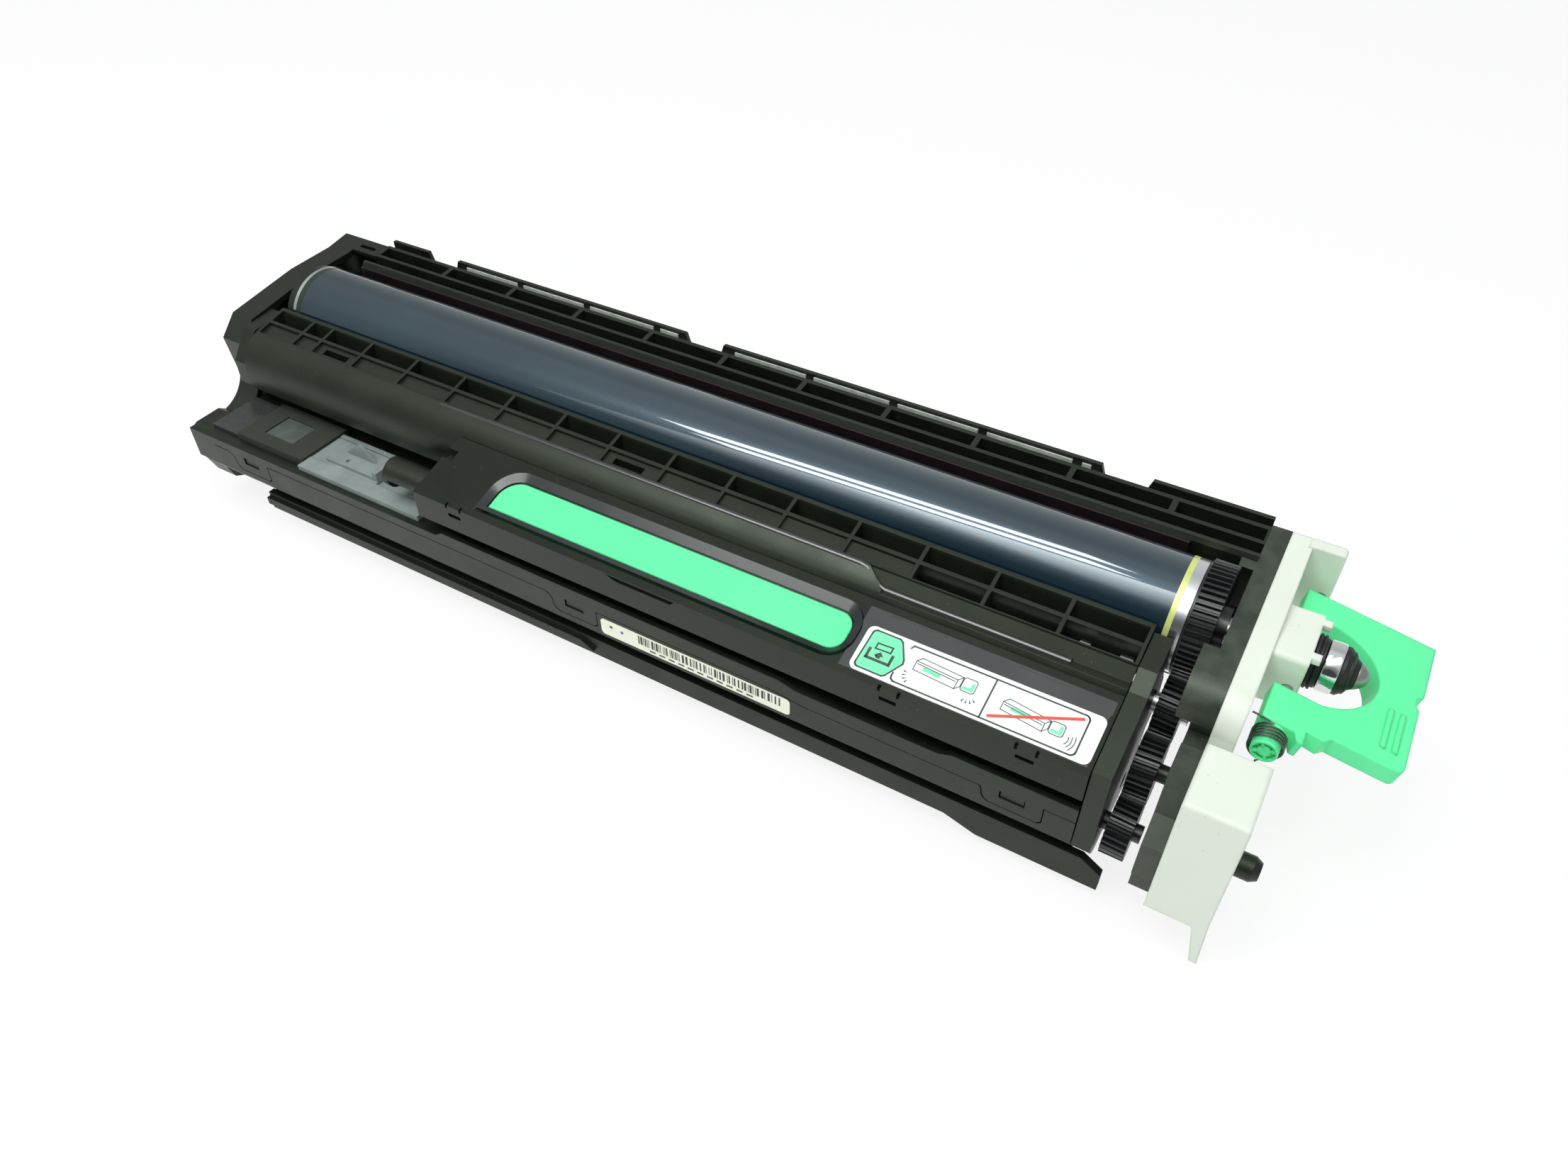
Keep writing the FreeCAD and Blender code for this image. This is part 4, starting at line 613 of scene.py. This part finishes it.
# What is drawn on it, in mm, and how high above it each ink stands
labelArt = {"line": 0.46, "fine": 0.22, "tray": 0.828, "middle": 37.3, "end": 62.5, "foot": 1.0,
            "head": 12.9, "round": 1.4, "darkInk": 0.03, "mintInk": 0.01, "redInk": 0.05,
            "redLine": [(39.3, 2.4), (60.9, 11.5)], "redWidth": 0.85,
            "tagSheet": [(4.5, 8.0), (8.9, 8.2), (8.9, 9.9), (4.5, 9.7)],
            "tagTray": [(3.2, 7.4), (3.2, 4.7), (9.9, 4.7), (9.9, 7.4)],
            "tagArrow": [(5.9, 5.4), (6.9, 5.4), (6.9, 6.2), (7.7, 6.2), (6.4, 7.5), (5.1, 6.2),
                         (5.9, 6.2)]}
# the tag at the left: a mint plate with a point, a small sheet, a tray and an arrow into it
tag = (arcPoints(2.6, 2.3, 1.2, 270, 180) + arcPoints(2.9, 12.0, 1.2, 180, 90)
       + [(9.4, 13.2), (10.4, 12.6), (13.0, 7.8), (13.2, 6.6), (10.4, 1.7), (9.6, 1.1)])
dark = stroke(tag, labelArt["line"], True) + stroke(labelArt["tagSheet"], labelArt["line"], True)
dark += stroke(labelArt["tagTray"], labelArt["tray"]) + [labelArt["tagArrow"]]
# two frames, each with a long unit drawn as plain boxes, and marks that show it moving
foot, head, middle, corner = labelArt["foot"], labelArt["head"], labelArt["middle"], labelArt["round"]
cornerEnd = labelArt["end"] - corner
dark += stroke([(13.2, 12.0), (13.7, head)] + arcPoints(cornerEnd, head - corner, corner, 90, 0)
               + arcPoints(cornerEnd, foot + corner, corner, 0, -90)
               + arcPoints(13.4, foot + corner, corner, 270, 180) + [(12.0, 3.4)], labelArt["line"])
dark += stroke([(middle, foot), (middle, head)], labelArt["line"])
# each unit leans, has a depth drawn up to the right, a line along it, a round box at its end, and
# a mint band and hook on it
units = [{"corner": (16.2, 6.4), "long": 12.0, "high": 2.8, "lean": 0.06},
         {"corner": (41.2, 5.4), "long": 11.6, "high": 2.4, "lean": 0.12}]
unitArt = {"depth": (1.2, 1.3), "inset": (0.5, 0.7), "box": (1.4, 5.2, 0.4, 1.6), "boxRound": 0.8,
           "band": [(2.4, 0.7), (7.4, 0.4), (7.4, 1.5), (2.4, 1.8)],
           "hook": [(1.8, 0.9), (4.8, 0.9), (4.8, 3.4), (3.9, 3.4), (3.9, 1.8), (1.8, 1.8)]}
mint = [tag]
for unit in units:
    (u0, v0), drop = unit["corner"], unit["lean"] * unit["long"]
    u1, v1 = u0 + unit["long"], v0 + unit["high"]
    (du, dv), (insetU, insetV) = unitArt["depth"], unitArt["inset"]
    boxStart, boxEnd, boxFoot, boxHead = unitArt["box"]
    fine = labelArt["fine"]
    dark += stroke([(u0, v0), (u1, v0 - drop), (u1, v1 - drop), (u0, v1)], fine, True)
    dark += stroke([(u0 + insetU, v1 - insetV), (u1 - insetU, v1 - drop - insetV)], fine)
    dark += stroke([(u0, v1), (u0 + du, v1 + dv), (u1 + du, v1 - drop + dv), (u1, v1 - drop)], fine)
    dark += stroke([(u1, v0 - drop), (u1 + du, v0 - drop + dv), (u1 + du, v1 - drop + dv)], fine)
    dark += stroke(roundedBox(u1 + boxStart, u1 + boxEnd, v0 - drop + boxFoot, v1 - drop + boxHead,
                              unitArt["boxRound"]), fine, True)
    mint += [shifted(unitArt["band"], u0, v0), shifted(unitArt["hook"], u1, v0 - drop)]
# fans of short rays beside the first unit, and waves beside the second
rays = {"fans": ((17.2, 4.6, 170), (32.4, 6.0, 250)), "count": 4, "turn": 24, "inner": 1.6, "outer": 2.9,
        "half": 0.22}
for cu, cv, first in rays["fans"]:
    for k in range(rays["count"]):
        angle = radians(first + rays["turn"] * k)
        u, v = cos(angle), sin(angle)
        ray = [(rays["inner"], 0), (rays["outer"], rays["half"]), (rays["outer"], -rays["half"])]
        dark.append([(cu + out * u - side * v, cv + out * v + side * u) for out, side in ray])
waves = {"centre": (57.4, 4.6), "radii": (2.2, 3.1, 4.0), "from": -40, "to": 20}
for radius in waves["radii"]:
    dark += stroke(arcPoints(*waves["centre"], radius, waves["from"], waves["to"]), labelArt["fine"])
printed("labelDarkPrint", lambda u, v: instructionSheet(u, v, labelArt["darkInk"]), dark, inkGrey)
printed("labelMintPrint", lambda u, v: instructionSheet(u, v, labelArt["mintInk"]), mint, inkMint)
printed("labelRedLine", lambda u, v: instructionSheet(u, v, labelArt["redInk"]),
        stroke(labelArt["redLine"], labelArt["redWidth"]), inkRed)

# Barcode label on the case front: u runs right, v up
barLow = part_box("barcode_label")[0]
barcode = {"sheet": (0.02, 66.48, 0.02, 6.28), "corner": 1.3, "top": -0.01, "thick": 0.13, "ink": 0.03,
           "start": 14.0, "end": 63.0, "span": (2.4, 5.7), "bars": (0.25, 0.25, 0.5, 0.75),
           "gaps": (0.3, 0.3, 0.55, 0.8), "dashes": 11, "dashStart": 18.0, "dashPitch": 3.4, "dashLong": 2.2,
           "dashSpan": (0.9, 1.5), "blackDot": (3.4, 4.5, 3.6, 4.7), "blueDot": (7.4, 8.5, 3.2, 4.3),
           "dotRound": 0.54}


def barcodeSheet(u, v, lift=barcode["ink"]):
    return Vector((barLow.x + u * mm, barLow.y - lift * mm, barLow.z + v * mm))


barSheet = sheetPiece("barcodeFilm", barcodeSheet, roundedBox(*barcode["sheet"], barcode["corner"]),
                      creamPaper, barcode["top"], barcode["thick"])
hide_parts("barcode_label")
random.seed(7)
bars, left = [], barcode["start"]
while left < barcode["end"]:
    right = left + random.choice(barcode["bars"])
    bars.append(upright(left, right, barcode["span"]))
    left = right + random.choice(barcode["gaps"])
for k in range(barcode["dashes"]):  # plain dashes stand where the digits are
    left = barcode["dashStart"] + barcode["dashPitch"] * k
    bars.append(upright(left, left + barcode["dashLong"], barcode["dashSpan"]))
printed("barcodeBars", barcodeSheet, bars, inkBlack)
printed("barcodeDotBlack", barcodeSheet, [roundedBox(*barcode["blackDot"], barcode["dotRound"])], inkBlack)
printed("barcodeDotBlue", barcodeSheet, [roundedBox(*barcode["blueDot"], barcode["dotRound"])], inkBlue)
print("labels printed")


# Grip insert: a smooth green bar with rounded edges, in its recess on the slope
gripLow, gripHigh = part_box("grip_insert")
gripBar = {"start": gripLow.x / mm, "end": gripHigh.x / mm, "front": gripLow.y / mm,
           "back": gripHigh.y / mm, "top": gripHigh.z / mm, "roundLeft": 7.0, "roundRight": 4.5,
           "edge": 0.3, "thick": 0.68, "skin": 0.02, "rise": tan(panelRise)}
# the smooth rim round it, from the recess's floor up to the slope
gripRim = {"inner": 0.35, "outer": 2.7, "slope": 1.6, "depth": 1.35, "under": 0.1, "skin": 0.06, "steps": 6}


def gripOutline(bar, inset):
    x0, x1 = bar["start"] + inset, bar["end"] - inset
    y0, y1 = bar["front"] + inset, bar["back"] - inset
    right, left = bar["roundRight"] - inset, bar["roundLeft"] - inset
    return (arcPoints(x1 - right, y1 - right, right, 0, 90, 10)
            + arcPoints(x0 + left, y1 - left, left, 90, 180, 10)
            + [(x0, y0)] + arcPoints(x1 - right, y0 + right, right, 270, 360, 10))


# The bar's outline at several insets and drops below its slope, joined by smooth faces
def gripRings(shape, bar, levels):
    rings = []
    for inset, drop in levels:
        ring = []
        for x, y in gripOutline(bar, inset):
            z = bar["top"] + bar["rise"] * (y - bar["back"]) - drop
            ring.append(shape.verts.new((x * mm, y * mm, z * mm)))
        rings.append(ring)
    for a, b in zip(rings, rings[1:]):
        for k in range(len(a)):
            n = (k + 1) % len(a)
            shape.faces.new((a[k], a[n], b[n], b[k])).smooth = True
    return rings


def gripSurface(bar):
    skin, edge = bar["skin"], bar["edge"]
    levels = [(skin, bar["thick"] + skin), (skin, edge + skin)]
    levels += [(edge * (1 - cos(radians(turn))) + skin,
                edge * (1 - sin(radians(turn))) + skin) for turn in (30, 60, 90)]
    shape = bmesh.new()
    rings = gripRings(shape, bar, levels)
    shape.faces.new(rings[-1])
    shape.faces.new(list(reversed(rings[0])))
    piece = meshPiece("gripBar", shape, [mintAbs], "frame")
    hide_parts("grip_insert")


def rimSurface(bar, rim):
    lift = rim["slope"] - rim["under"] + rim["skin"]
    shares = [k / rim["steps"] for k in range(rim["steps"] + 1)]
    shape = bmesh.new()
    gripRings(shape, bar, [(-rim["inner"] - (rim["outer"] - rim["inner"]) * share,
                            rim["depth"] * (1 - share) - lift) for share in shares])
    piece = meshPiece("gripRim", shape, [smoothRim], "frame")


gripSurface(gripBar)
rimSurface(gripBar, gripRim)
print("grip bar made")


# Plain boxes of one material, each from its low to its high corner in mm
def boxesPiece(name, boxes, material):
    shape = bmesh.new()
    for low, high in boxes:
        corners = [shape.verts.new(Vector((x, y, z)) * mm) for z in (low[2], high[2])
                   for x, y in ((low[0], low[1]), (high[0], low[1]), (high[0], high[1]), (low[0], high[1]))]
        for side in ((3, 2, 1, 0), (4, 5, 6, 7), (0, 1, 5, 4), (1, 2, 6, 5), (2, 3, 7, 6), (3, 0, 4, 7)):
            shape.faces.new([corners[k] for k in side])
    piece = meshPiece(name, shape, [material], "frame", False)


# The pale strip's leaf, which stands against the rear wall between the ribs
stripLeaf = {"front": 34.5, "back": 35.0, "foot": 9.55, "head": 12.2, "ribFirst": 54.8, "ribPitch": 30.3,
             "ribs": 10, "ribGap": 1.5, "endGap": 2.0, "runs": ((58.0, 156.0), (176.0, 303.0))}
ribs = [stripLeaf["ribFirst"] + stripLeaf["ribPitch"] * k for k in range(stripLeaf["ribs"])]
leaves = []
for first, last in stripLeaf["runs"]:
    between = [rib for rib in ribs if first + stripLeaf["endGap"] < rib < last - stripLeaf["endGap"]]
    for left, right in zip([first] + between, between + [last]):
        leaves.append(((left + stripLeaf["ribGap"], stripLeaf["front"], stripLeaf["foot"]),
                       (right - stripLeaf["ribGap"], stripLeaf["back"], stripLeaf["head"])))
boxesPiece("channelStripLeaf", leaves, feltStrip)

# A dim sheet over the slider, seen through the inlet's window: painted shade over the deep slider
inletShadePane = {"low": (33.5, -49.9, -20.7), "high": (47.3, -39.1, -20.6)}
boxesPiece("inletShadePane", [(inletShadePane["low"], inletShadePane["high"])], paintedShadePane)
print("strip and pane laid")


# Front bearing: ring, cup, collars and nose, turned with more steps than the solids. Each has
# its profile as distances from its place and radii, over the shaft of 3 mm radius.
def fromPlace(place, profile):
    return [(place + along, radius) for along, radius in profile]


bearing = {"ring": 377.8, "cup": 382.0, "collars": 374.95, "nose": 386.25}
ringProfile = [(0.0, 3.0), (0.0, 6.5), (0.15, 6.85), (0.5, 7.0), (3.7, 7.0), (4.05, 6.85), (4.2, 6.5),
               (4.2, 3.0)]
race = turnedPiece("bearingRing", fromPlace(bearing["ring"], ringProfile), (0, 0), [bearingSteel],
                   "frame", 128)
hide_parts("bearing_race")
cupProfile = [(0.05, 3.0), (0.05, 6.5), (0.9, 6.55), (1.4, 6.2), (2.0, 5.7), (2.4, 5.7), (3.0, 4.8),
              (3.0, 3.0)]
cup = turnedPiece("bearingCup", fromPlace(bearing["cup"], cupProfile), (0, 0), [nitrileRubber], "frame", 96)
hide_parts("rubber_cup")
collarProfile = [(0.0, 3.0), (0.0, 7.1), (0.25, 7.5), (0.75, 7.5), (0.95, 7.0), (1.15, 7.0), (1.35, 7.4),
                 (1.85, 7.4), (2.05, 6.7), (2.7, 6.7), (2.7, 3.0)]
collars = turnedPiece("bearingCollarRings", fromPlace(bearing["collars"], collarProfile), (0, 0),
                      [nitrileRubber], "frame", 128)
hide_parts("bearing_collars")
noseProfile = [(0.0, 2.3), (0.0, 3.7), (0.35, 3.65), (1.65, 2.75), (2.35, 2.1), (2.75, 1.4), (2.9, 0.8),
               (2.95, 0.2), (2.55, 0.1), (0.35, 0.1)]
nose = turnedPiece("shaftNose", fromPlace(bearing["nose"], noseProfile), (0, 0), [turnedNose], "drum", 64)
print("bearing turned")

# Lever stub: a hollow end with a cross of ribs in it, over the pin's end
stubEnd = {"centre": (372.0, -3.0), "back": -32.95, "front": -34.3, "rim": 3.35, "bore": 2.75,
           "chamfer": 0.15, "hub": 1.65, "hubFront": -34.1, "middle": 0.1, "rib": 0.7,
           "ribSpan": (1.5, 2.9), "ribBack": 0.1, "ribTurns": (20, 110, 200, 290)}
back, front = stubEnd["back"], stubEnd["front"]
stubProfile = [(back, stubEnd["bore"]), (back, stubEnd["rim"]),
               (front + stubEnd["chamfer"], stubEnd["rim"]), (front, stubEnd["rim"] - stubEnd["chamfer"]),
               (front, stubEnd["bore"])]
stubRing = turnedPiece("leverStubRing", stubProfile, stubEnd["centre"], [mintAbs], "lever", 64, "Y")
hubProfile = [(back, stubEnd["middle"]), (back, stubEnd["hub"]), (stubEnd["hubFront"], stubEnd["hub"]),
              (stubEnd["hubFront"], stubEnd["middle"])]
stubHub = turnedPiece("leverStubHub", hubProfile, stubEnd["centre"], [mintAbs], "lever", 48, "Y")
shape = bmesh.new()
inner, outer = stubEnd["ribSpan"]
for ribTurn in stubEnd["ribTurns"]:
    along = Vector((cos(radians(ribTurn)), 0, sin(radians(ribTurn))))
    across = Vector((-along.z, 0, along.x)) * stubEnd["rib"] / 2
    corners = []
    for y in (back, front + stubEnd["ribBack"]):
        middle = Vector((stubEnd["centre"][0], y, stubEnd["centre"][1]))
        for distance, side in ((inner, -1), (outer, -1), (outer, 1), (inner, 1)):
            corners.append(shape.verts.new((middle + along * distance + across * side) * mm))
    shape.faces.new(corners[3::-1])
    shape.faces.new(corners[4:])
    for k in range(4):
        n = (k + 1) % 4
        shape.faces.new((corners[k], corners[n], corners[4 + n], corners[4 + k]))
stubRibs = meshPiece("leverStubRibs", shape, [mintAbs], "lever")
print("lever stub ribbed")


# Floor, background and lamps
stageLook = {"floor": "#f4f5f4", "reach": 6.0, "whiteShare": 0.85}


# the floor takes shadows, and to the camera and in mirrors it is mostly plain white
def makeFloor(look):
    low, reach = cadBox[0].z, look["reach"]
    mesh = bpy.data.meshes.new("floor")
    mesh.from_pydata([(-reach, -reach, low), (reach, -reach, low), (reach, reach, low),
                      (-reach, reach, low)], [], [(0, 1, 2, 3)])
    floor = addObject("floor", mesh)
    material, tree = newMaterial("paleFloor")
    rayKind = addNode(tree, "LightPath")
    seen = addNode(tree, "Math", {"operation": "MAXIMUM"},
                   {0: rayKind.outputs["Is Camera Ray"], 1: rayKind.outputs["Is Glossy Ray"]})
    share = addNode(tree, "Math", {"operation": "MULTIPLY", 1: look["whiteShare"]}, {0: seen})
    paper = addNode(tree, "BsdfDiffuse", {"Color": hexColour(look["floor"])})
    white = addNode(tree, "Emission", {"Color": (1, 1, 1, 1), "Strength": 1.0})
    mix = addNode(tree, "MixShader", {}, {0: share, 1: paper, 2: white})
    addNode(tree, "OutputMaterial", {}, {"Surface": mix})
    mesh.materials.append(material)


makeFloor(stageLook)

# The room: a soft plain light from overhead and behind, and a dim side in front. The bright part
# is overhead only, and sinks to a plain level at the two sides.
roomLook = {"tint": (0.95, 1.0, 0.98, 1), "strength": 2.2, "sides": (0.4, 0.82), "sideLevel": 0.55,
            "across": [(0.04, 0.03), (0.1, 0.12), (0.2, 0.3), (0.34, 0.37), (0.6, 0.36), (0.76, 0.25),
                       (1.0, 0.3)]}


def makeRoom(look):
    world = bpy.data.worlds.new("studio")
    bpy.context.scene.world = world
    world.use_nodes = True
    tree = world.node_tree
    tree.nodes.clear()
    rayKind = addNode(tree, "LightPath")
    towards = addNode(tree, "TexCoord")
    parts = addNode(tree, "SeparateXYZ", {}, {0: towards.outputs["Generated"]})
    spread = addNode(tree, "MapRange", {"From Min": -1.0, "From Max": 1.0}, {"Value": parts.outputs["Y"]})
    sky = addNode(tree, "ValToRGB", {}, {0: spread})
    sky.color_ramp.interpolation = "EASE"
    setRamp(sky.color_ramp, look["across"])
    aside = addNode(tree, "Math", {"operation": "ABSOLUTE"}, {0: parts.outputs["X"]})
    near = addNode(tree, "MapRange",
                   {"From Min": look["sides"][0], "From Max": look["sides"][1], "To Min": 1.0,
                    "To Max": look["sideLevel"], "interpolation_type": "SMOOTHSTEP"}, {"Value": aside})
    plain = addNode(tree, "Math", {"operation": "MULTIPLY"}, {0: sky, 1: near})
    level = addNode(tree, "Math", {"operation": "MULTIPLY", 1: look["strength"]}, {0: plain})
    room = addNode(tree, "Background", {"Color": look["tint"]}, {"Strength": level})
    seen = addNode(tree, "Background", {"Color": (1, 1, 1, 1), "Strength": 1.0})
    mix = addNode(tree, "MixShader", {}, {0: rayKind.outputs["Is Camera Ray"], 1: room, 2: seen})
    addNode(tree, "OutputWorld", {}, {"Surface": mix})


makeRoom(roomLook)


# a turn that makes a lamp or a camera look along a direction
def facing(direction):
    return Vector(direction).to_track_quat("-Z", "Y").to_euler()


def areaLamp(name, place, turn, size, power):
    light = bpy.data.lights.new(name, "AREA")
    light.shape = "RECTANGLE"
    light.size, light.size_y = size
    light.energy = power
    lamp = addObject(name, light)
    lamp.location = place
    lamp.rotation_euler = turn
    return lamp


# two ceiling tubes side by side, which draw the double line along the drum
lamps = {"tubeHeight": 1.25, "tubeTurn": 39.3, "tubeEnd": 0.16, "tubeLength": 1.0, "tubeWide": 0.11,
         "tubePower": 3.7, "rows": {"tubeBack": -0.051, "tubeFront": -0.286}}
halfLength, tubeTurn = lamps["tubeLength"] / 2, radians(lamps["tubeTurn"])
for name, row in lamps["rows"].items():
    middle = (lamps["tubeEnd"] - halfLength * cos(tubeTurn), row - halfLength * sin(tubeTurn),
              lamps["tubeHeight"])
    areaLamp(name, middle, (0, 0, tubeTurn), (lamps["tubeLength"], lamps["tubeWide"]), lamps["tubePower"])
# the lit ceiling in front of the tubes: brightest beside them, and fading away from them and
# to the left, so the drum's glow starts at the double line and sinks to navy below it
ceiling = {"height": 1.27, "long": (-2.4, 0.6), "wide": (-1.3, -0.29), "strength": 6.2,
           "tint": (0.95, 1.0, 0.97, 1),
           "fade": [(0.0, 0.0), (0.3, 0.07), (0.58, 0.28), (0.82, 0.6), (1.0, 1.0)],
           "side": [(0.1, 0.12), (0.3, 0.33), (0.46, 0.5), (0.55, 1.0)]}


def litCeiling(look):
    mesh = bpy.data.meshes.new("litCeiling")
    (s0, s1), (w0, w1) = look["long"], look["wide"]
    mesh.from_pydata([(s0, w0, 0), (s0, w1, 0), (s1, w1, 0), (s1, w0, 0)], [], [(0, 1, 2, 3)])
    card = addObject("litCeiling", mesh)
    card.location = (lamps["tubeEnd"], lamps["rows"]["tubeBack"], look["height"])
    card.rotation_euler = (0, 0, tubeTurn)
    material, tree = newMaterial("litCeiling")
    spot = addNode(tree, "TexCoord")
    parts = addNode(tree, "SeparateXYZ", {}, {0: spot.outputs["Object"]})
    shares = []
    for axis, limits, stops in (("Y", look["wide"], look["fade"]), ("X", look["long"], look["side"])):
        spread = addNode(tree, "MapRange", {"From Min": limits[0], "From Max": limits[1]},
                         {"Value": parts.outputs[axis]})
        fade = addNode(tree, "ValToRGB", {}, {0: spread})
        setRamp(fade.color_ramp, stops)
        shares.append(fade)
    both = addNode(tree, "Math", {"operation": "MULTIPLY"}, {0: shares[0], 1: shares[1]})
    level = addNode(tree, "Math", {"operation": "MULTIPLY", 1: look["strength"]}, {0: both})
    glow = addNode(tree, "Emission", {"Color": look["tint"]}, {"Strength": level})
    clear = addNode(tree, "BsdfTransparent")
    lit = addNode(tree, "AddShader", {}, {0: glow, 1: clear})
    addNode(tree, "OutputMaterial", {}, {"Surface": lit})
    mesh.materials.append(material)


litCeiling(ceiling)
# the room's soft light from the front, too wide and dim for the gloss to mirror it
softFront = {"place": (0.55, -1.3, 0.8), "target": (0.2, 0, -0.02), "size": (1.6, 1.0), "power": 1.0}
frontLamp = areaLamp("softFront", softFront["place"],
                     facing(Vector(softFront["target"]) - Vector(softFront["place"])),
                     softFront["size"], softFront["power"])
frontLamp.visible_glossy = False
print("studio set")

# Camera at the photograph's place, with its lens and the width of its sensor in mm
view = {"place": (0.36264, -0.24677, 0.21533), "towards": (-0.37368, 0.63327, -0.67774), "lens": 26.463,
        "sensor": 36.0, "near": 0.01, "far": 20.0}
cameraData = bpy.data.cameras.new("camera")
cameraData.lens = view["lens"]
cameraData.sensor_width = view["sensor"]
cameraData.clip_start, cameraData.clip_end = view["near"], view["far"]
camera = addObject("camera", cameraData)
camera.location = view["place"]
camera.rotation_euler = facing(view["towards"])
bpy.context.scene.camera = camera
bpy.context.scene.view_settings.view_transform = "Standard"
print("camera set")
